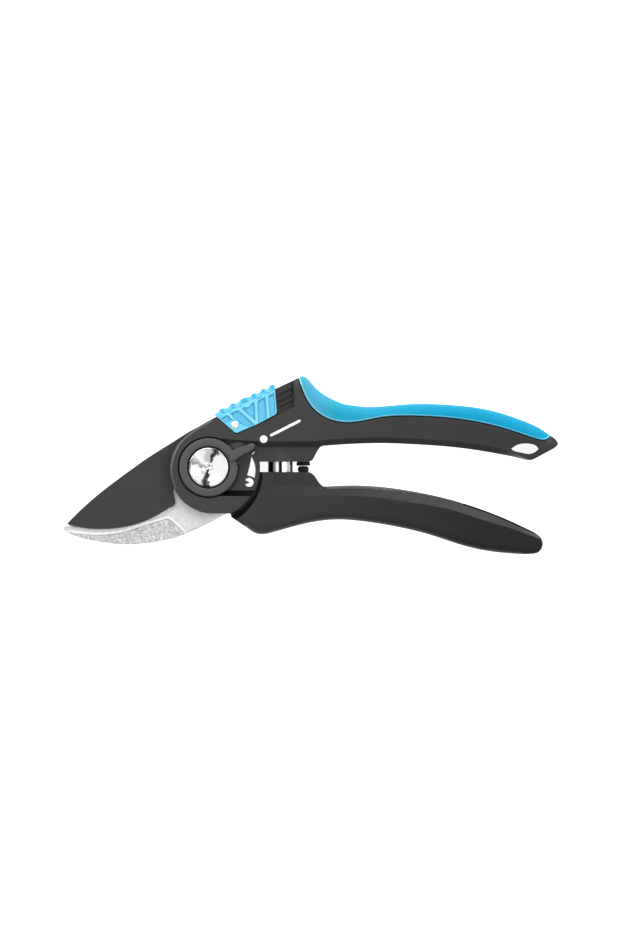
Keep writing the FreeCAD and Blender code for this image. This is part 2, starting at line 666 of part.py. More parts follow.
def lever_path():
    """The room that the lever needs over the scale plate."""
    last = LEVER_ANGLE - DIAL_TURN - 3.0
    swept = ring_sector(LEVER_R + 0.6, 12.0, last, LEVER_ANGLE, PLATE_Z[1], THICKNESS + 1.0)
    return swept.fuse(lever_block(PLATE_Z[1], THICKNESS + 1.0, 0.4))


def make_dial_parts():
    flange = ring(DIAL_BORE_R, BOLT_R + 0.6, DIAL_Z[0], BOLT_HEAD_Z[0] - 0.1)
    dial = ring(DIAL_R, DIAL_BORE_R, *DIAL_Z).fuse(flange)
    dial = dial.fuse(lever_block(PLATE_Z[1] + 0.15, LEVER_TOP))
    cam = ring_sector(CAM_R[1], CAM_R[0], *CAM_ANGLES, SLOT_Z[1] + 0.3, DIAL_Z[0])
    return {"dial_ring": dial, "dial_cam": cam}


# ---------------------------------------------------------------- write the parts

def main():
    os.makedirs("parts", exist_ok=True)
    parts = {}
    for maker in (make_upper_parts, make_pivot_parts, make_stop_parts, make_lower_parts,
                  make_spring, make_lock_parts, make_dial_parts):
        parts.update(maker())
    for name, shape in parts.items():
        if len(shape.Solids) == 1:
            shape = shape.Solids[0]
        shape.exportStep(f"parts/{name}.step")
        print(f"{name:22s} solids {len(shape.Solids)}  valid {shape.isValid()}  volume {shape.Volume:9.1f}")


main()
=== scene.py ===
import json
import math

import bmesh
import bpy
import numpy as np
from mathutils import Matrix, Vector, geometry


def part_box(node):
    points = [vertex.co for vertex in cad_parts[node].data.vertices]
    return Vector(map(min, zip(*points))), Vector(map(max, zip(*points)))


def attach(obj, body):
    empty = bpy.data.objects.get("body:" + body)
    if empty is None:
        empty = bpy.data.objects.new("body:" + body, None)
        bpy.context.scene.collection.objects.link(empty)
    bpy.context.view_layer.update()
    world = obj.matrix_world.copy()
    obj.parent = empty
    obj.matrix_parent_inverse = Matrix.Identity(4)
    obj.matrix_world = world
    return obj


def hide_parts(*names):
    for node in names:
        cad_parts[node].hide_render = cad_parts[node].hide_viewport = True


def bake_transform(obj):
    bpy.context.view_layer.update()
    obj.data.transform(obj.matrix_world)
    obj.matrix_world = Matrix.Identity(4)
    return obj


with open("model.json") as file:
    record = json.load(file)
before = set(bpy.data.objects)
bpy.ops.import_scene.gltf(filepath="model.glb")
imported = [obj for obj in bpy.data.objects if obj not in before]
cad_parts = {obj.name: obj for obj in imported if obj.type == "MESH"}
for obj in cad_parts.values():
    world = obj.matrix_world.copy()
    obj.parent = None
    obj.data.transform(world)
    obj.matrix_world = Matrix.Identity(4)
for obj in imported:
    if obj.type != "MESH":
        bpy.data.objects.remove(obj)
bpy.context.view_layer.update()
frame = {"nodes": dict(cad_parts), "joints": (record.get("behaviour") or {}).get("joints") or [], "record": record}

# Lengths below are in millimetres; meshes are made in metres. X, Y and Z are the frame's own axes,
# with the pivot at x = y = 0 and the tool's back on z = 0.
MM = 0.001


def cad_box(node):
    """Lowest and highest corner of a CAD node, in millimetres."""
    low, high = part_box(node)
    return low / MM, high / MM


# ---------------------------------------------------------------- sizes taken from the frame

HANDLE_LOW, HANDLE_HIGH = cad_box("lower_handle")
FRONT = HANDLE_HIGH.z
MID = FRONT / 2
BLADE_Z = (cad_box("cutting_blade")[0].z, cad_box("cutting_blade")[1].z)
HOOK_Z = (cad_box("counter_blade")[0].z, cad_box("counter_blade")[1].z)
BOLT_LOW, BOLT_HIGH = cad_box("pivot_bolt")
BOLT_HEAD_R = BOLT_HIGH.y
BOLT_TOP = BOLT_HIGH.z
DIAL_LOW, DIAL_HIGH = cad_box("dial_ring")
DIAL_R = -DIAL_LOW.x
NUT_R = cad_box("pivot_nut")[1].x
SPRING_LOW, SPRING_HIGH = cad_box("volute_spring")
STUB_LOW, STUB_HIGH = cad_box("stop_stub")
BUMPER_LOW, BUMPER_HIGH = cad_box("bumper")
PIN_LOW, PIN_HIGH = cad_box("lock_pin")
SLIDER_LOW, SLIDER_HIGH = cad_box("lock_slider")

JOINTS = {joint["name"]: joint for joint in frame["joints"]}
SLIDE_AXIS = np.array(JOINTS["lock_slide"]["axis"][:2])
SLIDE_UP = np.array([-SLIDE_AXIS[1], SLIDE_AXIS[0]])
SLIDE_TRAVEL = JOINTS["lock_slide"]["range_m"][1] / MM

# ---------------------------------------------------------------- sizes of the moulded details

PLATE_DROP = 3.0              # front face down to the lugs' and scale plate's level
PLATE_Z = FRONT - PLATE_DROP
SHOULDER_Z = PLATE_DROP
BAND = 2.4
BAND_FADE = 14.0
PLATE_EDGE = 8.6
HEAD_R = 21.8
SHOULDER_R = 22.9
SLOT_R = 22.7
SLOT_Z = (HOOK_Z[0], 12.2)
DIAL_RECESS_R = 13.1
DIAL_FLOOR = 14.5
LUG_GAP = (-2.0, 2.35)
SHOULDER_STEP = (23.6, -0.7, -2.0)     # radius and centre of the wider hollow in both faces
SHOULDER_STEP_DROP = 3.5
SPRING_X = (SPRING_LOW.x + SPRING_HIGH.x) / 2 + 0.15
PALM_ROUND = 5.0
LOWER_PALM_ROUND = 3.2
LOWER_TAIL_ROUND = 1.5
HOOK_ROUND = 1.3
EDGE = 0.45
RAIL_FLOOR = 15.5
CHEEK_Z = 18.3
POCKET_DEPTH = 8.5
POCKET_R = (3.6, 5.8)         # at the spring pocket's bottom and at its mouth
BULGE_R = 7.1                 # of the wall around a spring pocket, at its mouth
LUG_HEIGHT = 5.7
FOOT_X = (4.0, 23.0)          # the sloped foot of the head's lower level
FOOT_Y = (-9.8, -12.2)


# ---------------------------------------------------------------- lines in plan

def spline(points, step=0.7):
    """Points along the natural cubic spline through the given points."""
    p = np.array(points, float)
    t = np.concatenate([[0.0], np.cumsum(np.linalg.norm(np.diff(p, axis=0), axis=1))])
    h = np.diff(t)
    n = len(p)
    a = np.eye(n)
    b = np.zeros((n, p.shape[1]))
    for i in range(1, n - 1):
        a[i, i - 1:i + 2] = h[i - 1], 2 * (h[i - 1] + h[i]), h[i]
        b[i] = 6 * ((p[i + 1] - p[i]) / h[i] - (p[i] - p[i - 1]) / h[i - 1])
    m = np.linalg.solve(a, b)
    s = np.linspace(0, t[-1], max(3, int(t[-1] / step) + 2))
    k = np.clip(np.searchsorted(t, s, side="right") - 1, 0, n - 2)
    u, v, w = (s - t[k])[:, None], (t[k + 1] - s)[:, None], h[k][:, None]
    bend = (m[k] * v ** 3 + m[k + 1] * u ** 3) / (6 * w)
    return bend + (p[k] / w - m[k] * w / 6) * v + (p[k + 1] / w - m[k + 1] * w / 6) * u


def arc(radius, start, end, centre=(0.0, 0.0), step=0.7):
    count = max(3, int(abs(math.radians(end - start)) * radius / step) + 2)
    a = np.radians(np.linspace(start, end, count))
    return np.stack([centre[0] + radius * np.cos(a), centre[1] + radius * np.sin(a)], axis=1)


def circle(radius, centre=(0.0, 0.0), step=0.7):
    return arc(radius, 0.0, 360.0, centre, step)[:-1]


def straight(p, q, step=1.2):
    count = max(2, int(math.dist(p, q) / step) + 2)
    return np.linspace(p, q, count)


def joined(*runs):
    """One closed loop from runs that meet end to end."""
    points = [np.asarray(run, float) for run in runs]
    loop = np.concatenate(points)
    following = np.roll(loop, -1, axis=0)
    keep = np.linalg.norm(following - loop, axis=1) > 0.02
    return loop[keep]


def rounded(points, radius, closed=True):
    """A polygon with every corner rounded; radius may be one number or one per corner."""
    pieces = 5
    p = np.array(points, float)
    n = len(p)
    radii = [radius] * n if np.isscalar(radius) else list(radius)
    out = []
    for i in range(n):
        if not closed and i in (0, n - 1):
            out.append(p[i])
            continue
        before, after = p[i - 1] - p[i], p[(i + 1) % n] - p[i]
        lb, la = np.linalg.norm(before), np.linalg.norm(after)
        before, after = before / lb, after / la
        cosine = np.clip(before @ after, -1, 1)
        half = math.acos(cosine) / 2
        if radii[i] < 1e-6 or half > 1.55:
            out.append(p[i])
            continue
        reach = min(radii[i] / math.tan(half), 0.48 * lb, 0.48 * la)
        r = reach * math.tan(half)
        middle = p[i] + (before + after) / np.linalg.norm(before + after) * (r / math.sin(half))
        start, stop = p[i] + before * reach - middle, p[i] + after * reach - middle
        a0 = math.atan2(start[1], start[0])
        turn = (math.atan2(stop[1], stop[0]) - a0 + math.pi) % (2 * math.pi) - math.pi
        for k in range(pieces + 1):
            a = a0 + turn * k / pieces
            out.append(middle + r * np.array([math.cos(a), math.sin(a)]))
    return np.array(out)


def filled(loop, step=1.0, closed=True):
    """The same line with its long segments divided."""
    out = []
    count = len(loop) if closed else len(loop) - 1
    for i in range(count):
        p, q = loop[i], loop[(i + 1) % len(loop)]
        parts = max(1, int(np.linalg.norm(q - p) / step))
        out += [p + (q - p) * k / parts for k in range(parts)]
    if not closed:
        out.append(loop[-1])
    return np.array(out)


def offset(line, distance, closed=False):
    """A line moved sideways, to its left for a positive distance."""
    if closed:
        tangent = np.roll(line, -1, axis=0) - np.roll(line, 1, axis=0)
    else:
        tangent = np.gradient(line, axis=0)
    tangent /= np.linalg.norm(tangent, axis=1)[:, None] + 1e-12
    return line + distance * np.stack([-tangent[:, 1], tangent[:, 0]], axis=1)


def beside(line, distances, closed=False):
    """Feature lines for a relief, at distances to the left of a line."""
    return [(offset(line, d, closed), closed) for d in distances]


def distance(points, line, closed=False):
    """Distance from each point to a line of segments."""
    a = line if closed else line[:-1]
    b = np.roll(line, -1, axis=0) if closed else line[1:]
    ab = b - a
    length = np.maximum((ab ** 2).sum(1), 1e-12)
    out = np.empty(len(points))
    for i in range(0, len(points), 2000):
        p = points[i:i + 2000, None, :]
        t = np.clip(((p - a) * ab).sum(2) / length, 0, 1)
        out[i:i + 2000] = np.sqrt((((a + t[..., None] * ab) - p) ** 2).sum(2)).min(1)
    return out


def inside(points, loop):
    """Which points lie inside a closed loop."""
    a, b = loop, np.roll(loop, -1, axis=0)
    out = np.zeros(len(points), bool)
    for i in range(0, len(points), 2000):
        p = points[i:i + 2000, None, :]
        crosses = (a[:, 1] > p[..., 1]) != (b[:, 1] > p[..., 1])
        rise = np.where(b[:, 1] == a[:, 1], 1e-12, b[:, 1] - a[:, 1])
        x = a[:, 0] + (p[..., 1] - a[:, 1]) * (b[:, 0] - a[:, 0]) / rise
        out[i:i + 2000] = (crosses & (p[..., 0] < x)).sum(1) % 2 == 1
    return out


# ---------------------------------------------------------------- height rules

def round_drop(d, radius):
    """How far a rounded edge has fallen at a distance d inside it."""
    t = np.clip(1 - d / radius, 0, 1)
    return radius * (1 - np.sqrt(1 - t ** 2))


def ramp(d, width, depth):
    return depth * np.clip(1 - d / width, 0, 1)


def ring_distances(radius, steps=6):
    """Distances at which a rounded edge wants its rings of points."""
    return [radius * (1 - math.cos(math.pi / 2 * k / steps)) for k in range(1, steps + 1)]


class Pocket:
    """A recess of one depth with nearly upright walls, in the outline's plane."""

    def __init__(self, loop, depth, draft=0.12):
        self.loop, self.depth, self.draft = loop, depth, draft

    def drop(self, points):
        near = distance(points, self.loop, True)
        return np.where(inside(points, self.loop), self.depth * np.clip(near / self.draft, 0, 1), 0.0)

    def lines(self):
        ahead = np.roll(self.loop, -1, axis=0) - self.loop
        behind = self.loop - np.roll(self.loop, 1, axis=0)
        inward = self.draft if np.cross(ahead, behind).sum() < 0 else -self.draft
        return [(self.loop, True)] + beside(self.loop, [inward], True)


# ---------------------------------------------------------------- meshes

def new_object(name, vertices, faces, scale=MM):
    mesh = bpy.data.meshes.new(name)
    mesh.from_pydata([tuple(float(c) * scale for c in v) for v in vertices], [], faces)
    mesh.validate()
    obj = bpy.data.objects.new(name, mesh)
    bpy.context.scene.collection.objects.link(obj)
    return obj


def plan_mesh(outline, lines, grid, holes=()):
    """Triangles inside an outline that follow every line given. Returns points, triangles."""
    runs = [(outline, True)] + [(h, True) for h in holes] + list(lines)
    points, edges = [], []
    for line, closed in runs:
        first = len(points)
        points += [tuple(p) for p in line]
        edges += [(first + i, first + i + 1) for i in range(len(line) - 1)]
        if closed:
            edges.append((len(points) - 1, first))
    known = np.array(points)
    low, high = outline.min(0), outline.max(0)
    rows = []
    for j, y in enumerate(np.arange(low[1], high[1], grid * 0.87)):
        shift = grid / 2 if j % 2 else 0.0
        rows += [(x, y) for x in np.arange(low[0] + shift, high[0], grid)]
    loose = np.array(rows)
    loose = loose[inside(loose, outline)]
    gap = np.empty(len(loose))
    for i in range(0, len(loose), 1000):
        part = loose[i:i + 1000, None, :]
        gap[i:i + 1000] = np.sqrt(((part - known) ** 2).sum(2)).min(1)
    loose = loose[gap > 0.45 * grid]
    coords = [Vector(p) for p in points] + [Vector(p) for p in loose]
    out = geometry.delaunay_2d_cdt(coords, edges, [], 0, 1e-5)
    xy = np.array([(v.x, v.y) for v in out[0]])
    faces = np.array([f for f in out[2] if len(f) == 3])
    centre = xy[faces].mean(1)
    keep = inside(centre, outline)
    for h in holes:
        keep &= ~inside(centre, h)
    return xy, faces[keep]


def relief(name, outline, top, bottom, lines=(), grid=1.6, holes=()):
    """A closed solid between two heights that are functions of the place in plan."""
    xy, faces = plan_mesh(outline, lines, grid, holes)
    used = np.unique(faces)
    index = np.full(len(xy), -1)
    index[used] = np.arange(len(used))
    xy, faces = xy[used], index[faces]
    n = len(xy)
    high, low = top(xy), bottom(xy)
    vertices = np.concatenate([np.c_[xy, high], np.c_[xy, low]])
    a, b, c = xy[faces[:, 0]], xy[faces[:, 1]], xy[faces[:, 2]]
    flip = (b[:, 0] - a[:, 0]) * (c[:, 1] - a[:, 1]) - (b[:, 1] - a[:, 1]) * (c[:, 0] - a[:, 0]) < 0
    faces[flip] = faces[flip][:, ::-1]
    all_faces = [tuple(f) for f in faces] + [(f[2] + n, f[1] + n, f[0] + n) for f in faces]
    sides = {}
    for f in faces:
        for i in range(3):
            sides[(int(f[i]), int(f[(i + 1) % 3]))] = True
    for i, j in sides:
        if (j, i) not in sides:
            all_faces.append((j, i, i + n, j + n))
    return new_object(name, vertices, [tuple(int(i) for i in f) for f in all_faces])


def block(name, loop, z_low, z_high, soft=0.0, steps=3):
    """A straight-sided solid over a loop, with softened top and bottom edges."""
    loop = filled(np.asarray(loop, float), 2.0)
    if soft <= 0:
        def flat(z):
            return lambda p: np.full(len(p), z)
        return relief(name, loop, flat(z_high), flat(z_low), grid=4.0)
    area = np.cross(loop, np.roll(loop, -1, axis=0)).sum()
    lines = beside(loop, ring_distances(soft if area > 0 else -soft, steps), True)

    def drop(p):
        return round_drop(distance(p, loop, True), soft)

    return relief(name, loop, lambda p: z_high - drop(p), lambda p: z_low + drop(p), lines, grid=4.0)


def lathe(name, profile, centre=(0.0, 0.0, 0.0), axis="Z", segments=96):
    """A turned solid. The profile is (radius, height) from the lower axis point to the upper."""
    profile = [(max(0.0, r), h) for r, h in profile]
    vertices, rows, faces = [], [], []
    for r, h in profile:
        count = 1 if r < 1e-6 else segments
        row = []
        for i in range(count):
            a = 2 * math.pi * i / segments
            u, v = r * math.cos(a), r * math.sin(a)
            place = (u, v, h) if axis == "Z" else (v, h, u)
            row.append(len(vertices))
            vertices.append([centre[k] + place[k] for k in range(3)])
        rows.append(row)
    for low, high in zip(rows, rows[1:]):
        for i in range(segments):
            j = (i + 1) % segments
            quad = [low[i % len(low)], low[j % len(low)], high[j % len(high)], high[i % len(high)]]
            corners = list(dict.fromkeys(quad))
            if len(corners) > 2:
                faces.append(tuple(corners))
    return new_object(name, vertices, faces)


def apply_modifiers(obj):
    bpy.context.view_layer.update()
    graph = bpy.context.evaluated_depsgraph_get()
    mesh = bpy.data.meshes.new_from_object(obj.evaluated_get(graph))
    obj.modifiers.clear()
    obj.data = mesh


def carve(obj, cutters):
    """Cuts each cutter out of an object; the cutter is then removed."""
    for cutter in cutters:
        change = obj.modifiers.new("carve", "BOOLEAN")
        change.operation = "DIFFERENCE"
        change.solver = "EXACT"
        change.object = cutter
        apply_modifiers(obj)
        bpy.data.objects.remove(cutter)


def shade(obj, degrees=32.0):
    """Smooth shading that breaks at edges sharper than the angle; tiny faults are merged."""
    bm = bmesh.new()
    bm.from_mesh(obj.data)
    bmesh.ops.remove_doubles(bm, verts=bm.verts, dist=1e-6)
    bmesh.ops.dissolve_degenerate(bm, edges=bm.edges, dist=1e-7)
    bmesh.ops.recalc_face_normals(bm, faces=bm.faces)
    for face in bm.faces:
        face.smooth = True
    limit = math.radians(degrees)
    for edge in bm.edges:
        edge.smooth = len(edge.link_faces) == 2 and edge.calc_face_angle(0.0) < limit
    bm.to_mesh(obj.data)
    bm.free()


def second_finish(obj, material, loop, least_facing=0.3):
    """Gives the front faces within a loop another material."""
    obj.data.materials.append(material)
    centres = np.array([tuple(f.center) for f in obj.data.polygons]) / MM
    facing = np.array([f.normal.z for f in obj.data.polygons])
    chosen = inside(centres[:, :2], loop) & (facing > least_facing)
    for index in np.flatnonzero(chosen):
        obj.data.polygons[int(index)].material_index = len(obj.data.materials) - 1


def ribbon(line, near, far):
    """The loop between two lines at the given distances beside a line."""
    return np.concatenate([offset(line, near), offset(line, far)[::-1]])


def piece(obj, body, material, replaces=(), degrees=32.0):
    """Finishes a piece: shading, material, the body it rides on and the nodes it stands for."""
    shade(obj, degrees)
    obj.data.materials.clear()
    obj.data.materials.append(material)
    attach(obj, body)
    if replaces:
        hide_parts(*replaces)


# ---------------------------------------------------------------- materials

class Tree:
    """A short way to write a node tree whose patterns follow one kind of coordinate."""

    def __init__(self, tree, coordinate):
        self.tree = tree
        self.place = self.add("ShaderNodeTexCoord").outputs[coordinate]

    def add(self, kind):
        return self.tree.nodes.new(kind)

    def link(self, a, b):
        self.tree.links.new(a, b)

    def axis(self, name):
        """X, Y or Z of the place."""
        parts = self.add("ShaderNodeSeparateXYZ")
        self.link(self.place, parts.inputs["Vector"])
        return parts.outputs[name]

    def maths(self, operation, *values):
        """A math node; each value is a number or the output of another node."""
        node = self.add("ShaderNodeMath")
        node.operation = operation
        for socket, value in zip(node.inputs, values):
            if isinstance(value, float):
                socket.default_value = value
            else:
                self.link(value, socket)
        return node.outputs["Value"]

    def noise(self, scale, detail=2.0, roughness=0.5, place=None):
        noise = self.add("ShaderNodeTexNoise")
        noise.inputs["Scale"].default_value = scale
        noise.inputs["Detail"].default_value = detail
        noise.inputs["Roughness"].default_value = roughness
        self.link(place or self.place, noise.inputs["Vector"])
        return noise.outputs["Fac"]

    def spread(self, value, low, high, from_low=0.3, from_high=0.7):
        """Takes a value from one range to another, and stops at its ends."""
        node = self.add("ShaderNodeMapRange")
        limits = {"From Min": from_low, "From Max": from_high, "To Min": low, "To Max": high}
        for key, number in limits.items():
            node.inputs[key].default_value = number
        self.link(value, node.inputs["Value"])
        return node.outputs["Result"]


class Nodes(Tree):
    """The node tree of a new material with one principled shader."""

    def __init__(self, name):
        self.material = bpy.data.materials.new(name)
        self.material.use_nodes = True
        self.material.node_tree.nodes.clear()
        super().__init__(self.material.node_tree, "Object")
        self.shader = self.add("ShaderNodeBsdfPrincipled")
        self.link(self.shader.outputs["BSDF"], self.add("ShaderNodeOutputMaterial").inputs["Surface"])

    def set(self, **values):
        for key, value in values.items():
            self.shader.inputs[key.replace("_", " ")].default_value = value

    def stretched(self, scale, rotation):
        mapping = self.add("ShaderNodeMapping")
        mapping.inputs["Scale"].default_value = scale
        mapping.inputs["Rotation"].default_value = rotation
        self.link(self.place, mapping.inputs["Vector"])
        return mapping.outputs["Vector"]

    def colours(self, value, stops):
        """A colour ramp from a value; stops are (position, colour)."""
        ramp_node = self.add("ShaderNodeValToRGB")
        elements = ramp_node.color_ramp.elements
        while len(elements) < len(stops):
            elements.new(0.5)
        for element, (position, colour) in zip(elements, stops):
            element.position = position
            element.color = (*colour, 1.0)
        self.link(value, ramp_node.inputs["Fac"])
        return ramp_node.outputs["Color"]

    def uneven(self, axis, scale, detail, amount):
        """A coordinate, or another value, made uneven by a noise."""
        value = self.axis(axis) if isinstance(axis, str) else axis
        return self.maths("MULTIPLY_ADD", self.noise(scale, detail), amount, value)

    def painted_shading_along(self, stops, low=0.02, high=0.135):
        """Painted light and shade: a colour that changes along the tool's length, made uneven by a wide noise."""
        return self.colours(self.spread(self.uneven("X", 60.0, 3.0, 0.03), 0.0, 1.0, low, high), stops)

    def bump(self, value, strength, depth):
        node = self.add("ShaderNodeBump")
        node.inputs["Strength"].default_value = strength
        node.inputs["Distance"].default_value = depth
        self.link(value, node.inputs["Height"])
        self.link(node.outputs["Normal"], self.shader.inputs["Normal"])

    def colour(self, value):
        self.link(value, self.shader.inputs["Base Color"])

    def roughness(self, value):
        self.link(value, self.shader.inputs["Roughness"])

    def polish(self, rough):
        """Polished metal's haze and faint waviness."""
        self.roughness(self.spread(self.noise(260.0, 4.0), *rough))
        self.bump(self.noise(1400.0, 2.0), 0.04, 0.00001)
        self.set(Metallic=1.0)


def grey(value):
    return (value, value, value)


def moulded_plastic(name, head, tail, rough=(0.42, 0.55), grain=0.35, specular=0.3):
    """Moulded plastic with a fine spark-eroded grain; its tone changes from the head to the tail as painted light
    and shade.
    """
    n = Nodes(name)
    fine = n.noise(2600.0, 3.0)
    n.colour(n.painted_shading_along([(0.0, head), (1.0, tail)]))
    n.roughness(n.spread(fine, *rough))
    n.bump(fine, grain, 0.00004)
    n.set(IOR=1.47, Specular_IOR_Level=specular)
    return n.material


def soft_rubber(name, stops):
    """Matt rubber; its colour deepens from the head to the tail as painted light and shade."""
    n = Nodes(name)
    fine = n.noise(3200.0, 2.0)
    n.colour(n.painted_shading_along(stops, 0.03, 0.12))
    n.roughness(n.spread(fine, 0.5, 0.62))
    n.bump(fine, 0.25, 0.00003)
    n.set(Specular_IOR_Level=0.12)
    return n.material


def ground_steel(name, tone, rough=(0.22, 0.38), rotation=0.0, stretch=18.0):
    """Steel with fine grinding lines along one direction."""
    n = Nodes(name)
    place = n.stretched((1.0, stretch, 1.0), (0.0, 0.0, rotation))
    lines = n.noise(900.0, 4.0, 0.6, place)
    blotches = n.noise(700.0, 6.0, 0.7)
    n.colour(n.colours(blotches, [(0.3, grey(tone * 0.8)), (0.6, grey(tone))]))
    n.roughness(n.spread(lines, *rough))
    n.bump(lines, 0.25, 0.00002)
    n.set(Metallic=1.0)
    return n.material


def grained_steel(name):
    """The hook's recessed panel: cast, sparkling grain."""
    n = Nodes(name)
    grain = n.noise(1100.0, 8.0, 0.8)
    n.colour(n.colours(grain, [(0.34, grey(0.28)), (0.5, grey(0.55)), (0.62, grey(0.85))]))
    n.roughness(n.spread(grain, 0.35, 0.6))
    n.bump(grain, 0.6, 0.00012)
    n.set(Metallic=1.0)
    return n.material


def polished_metal(name, colour, rough):
    n = Nodes(name)
    n.colour(n.colours(n.noise(260.0, 4.0), [(0.3, tuple(c * 0.94 for c in colour)), (0.7, colour)]))
    n.polish(rough)
    return n.material


def chrome_with_painted_reflections(name):
    """Chrome over a turned dish, with painted reflections: soft dark wedges drawn out from the centre."""
    n = Nodes(name)
    angle = n.uneven(n.maths("ARCTAN2", n.axis("Y"), n.axis("X")), 330.0, 2.0, 0.7)
    around = n.spread(angle, 0.0, 1.0, 0.35 - math.pi, 0.35 + math.pi)
    light, dim, dark = grey(0.92), grey(0.3), grey(0.05)
    n.colour(n.colours(around, [
        (0.0, dim), (0.04, light), (0.16, light), (0.2, dark), (0.25, dark), (0.28, light),
        (0.65, light), (0.675, dark), (0.7, dark), (0.725, light), (0.9, light), (0.95, dim),
    ]))
    n.polish((0.08, 0.16))
    return n.material


def spring_steel_with_painted_reflections(name):
    """Bright spring steel with painted reflections: dark and bright bands across X, the dark ones over the coils'
    sides.
    """
    n = Nodes(name)
    across = n.spread(n.axis("X"), 0.0, 1.0, 0.0252, 0.0357)
    dark, middle, bright = grey(0.02), grey(0.3), grey(0.95)
    n.colour(n.colours(across, [
        (0.0, dark), (0.19, dark), (0.22, middle), (0.3, middle), (0.33, bright), (0.42, bright),
        (0.45, dark), (0.56, dark), (0.59, bright), (0.91, bright), (0.94, dark),
    ]))
    n.polish((0.25, 0.35))
    return n.material


def coated_blade(name):
    """Black non-stick coating with a faint orange peel."""
    n = Nodes(name)
    fine = n.noise(1500.0, 3.0)
    wide = n.noise(70.0, 3.0)
    n.colour(n.colours(wide, [(0.3, (0.020, 0.021, 0.021)), (0.7, (0.026, 0.027, 0.027))]))
    n.roughness(n.spread(fine, 0.36, 0.46))
    n.bump(fine, 0.15, 0.00003)
    n.set(Specular_IOR_Level=0.35)
    return n.material


def clear_plastic_with_painted_shading(name):
    """Translucent plastic with painted light and shade: pale where it stands proud, deep in colour along the foot
    of each rib.
    """
    n = Nodes(name)
    height = n.spread(n.uneven("Z", 500.0, 3.0, 0.00012), 0.0, 1.0, 0.01686, 0.01886)
    n.colour(n.colours(height, [
        (0.0, (0.2, 0.68, 0.9)), (0.42, (0.13, 0.57, 0.84)), (0.5, (0.02, 0.34, 0.64)),
        (0.58, (0.03, 0.38, 0.68)), (0.66, (0.17, 0.64, 0.9)), (1.0, (0.26, 0.75, 0.97)),
    ]))
    n.roughness(n.spread(n.noise(1200.0), 0.12, 0.2))
    n.set(Transmission_Weight=0.2, IOR=1.46, Subsurface_Weight=0.12, Subsurface_Scale=0.002)
    n.shader.inputs["Subsurface Radius"].default_value = (0.3, 0.8, 1.0)
    return n.material


def print_ink(name):
    n = Nodes(name)
    speck = n.noise(2200.0, 3.0)
    n.colour(n.colours(speck, [(0.35, grey(0.72)), (0.6, grey(0.88))]))
    n.roughness(n.spread(speck, 0.4, 0.55))
    return n.material


# Painted light and shade: each moulding's tone changes along the tool; the lower handle's copy darkens towards its
# tail far more than the upper handle's.
BLACK = moulded_plastic("black_moulding", grey(0.031), grey(0.019))
LOWER_BLACK = moulded_plastic("lower_black_moulding", grey(0.028), grey(0.006), specular=0.25)
# Painted light and shade: the sloped band of the lower handle, darker at the head and lighter towards the tail.
BAND_PAINTED_SHADING = moulded_plastic("band_painted_shading_moulding", grey(0.016), grey(0.03), specular=0.25)
# Painted shade: near-black plastic laid where shade falls.
PAINTED_SHADE_BLACK = moulded_plastic("painted_shade_moulding", grey(0.002), grey(0.002), specular=0.1)
# Painted highlight: lighter grey plastic for the crest of the head's chamfer.
PAINTED_HIGHLIGHT_GREY = moulded_plastic("crest_painted_highlight_moulding", grey(0.11), grey(0.09), specular=0.4)
DIAL_GREY = moulded_plastic("dial_moulding", grey(0.053), grey(0.06), (0.35, 0.48), specular=0.5)
STRIP_GREY = moulded_plastic("strip_moulding", grey(0.08), grey(0.11), specular=0.5)
# Painted light and shade: the grip is paler at the head and deeper in colour towards the tail.
BLUE = soft_rubber("blue_grip_rubber", [
    (0.0, (0.125, 0.37, 0.52)), (0.45, (0.012, 0.285, 0.43)), (1.0, (0.0, 0.25, 0.43)),
])
# Painted highlight: paler blue rubber for the grip's edge along the seam.
PAINTED_HIGHLIGHT_BLUE = soft_rubber("grip_seam_painted_highlight_rubber", [(0.0, (0.3, 0.62, 0.75)), (1.0, (0.1, 0.5, 0.7))])
BLACK_RUBBER = soft_rubber("black_stop_rubber", [(0.0, grey(0.012)), (1.0, grey(0.02))])
HOOK_STEEL = ground_steel("hook_ground_steel", 0.76, (0.42, 0.55), math.radians(-60), 4.0)
# Painted highlight: a brighter copy of the hook's ground steel.
GROUND_STEEL_PAINTED_HIGHLIGHT = ground_steel("edge_steel_painted_highlight", 1.0, (0.4, 0.5), math.radians(-60), 4.0)
COATING = coated_blade("blade_coating")
CHROME = chrome_with_painted_reflections("bolt_chrome")
PIN_STEEL = ground_steel("pin_steel", 0.95, (0.3, 0.4), 0.0, 2.0)
SPRING_STEEL_PAINTED_REFLECTIONS = spring_steel_with_painted_reflections("spring_steel")
ZINC = ground_steel("zinc_plated_steel", 0.6, (0.3, 0.45), 0.0, 4.0)
BRONZE = polished_metal("bushing_bronze", (0.72, 0.48, 0.22), (0.2, 0.3))
CLEAR_BLUE = clear_plastic_with_painted_shading("slider_plastic")
GRAINED_STEEL = grained_steel("hook_grained_steel")
INK = print_ink("scale_ink")

# ---------------------------------------------------------------- outlines of the two handles

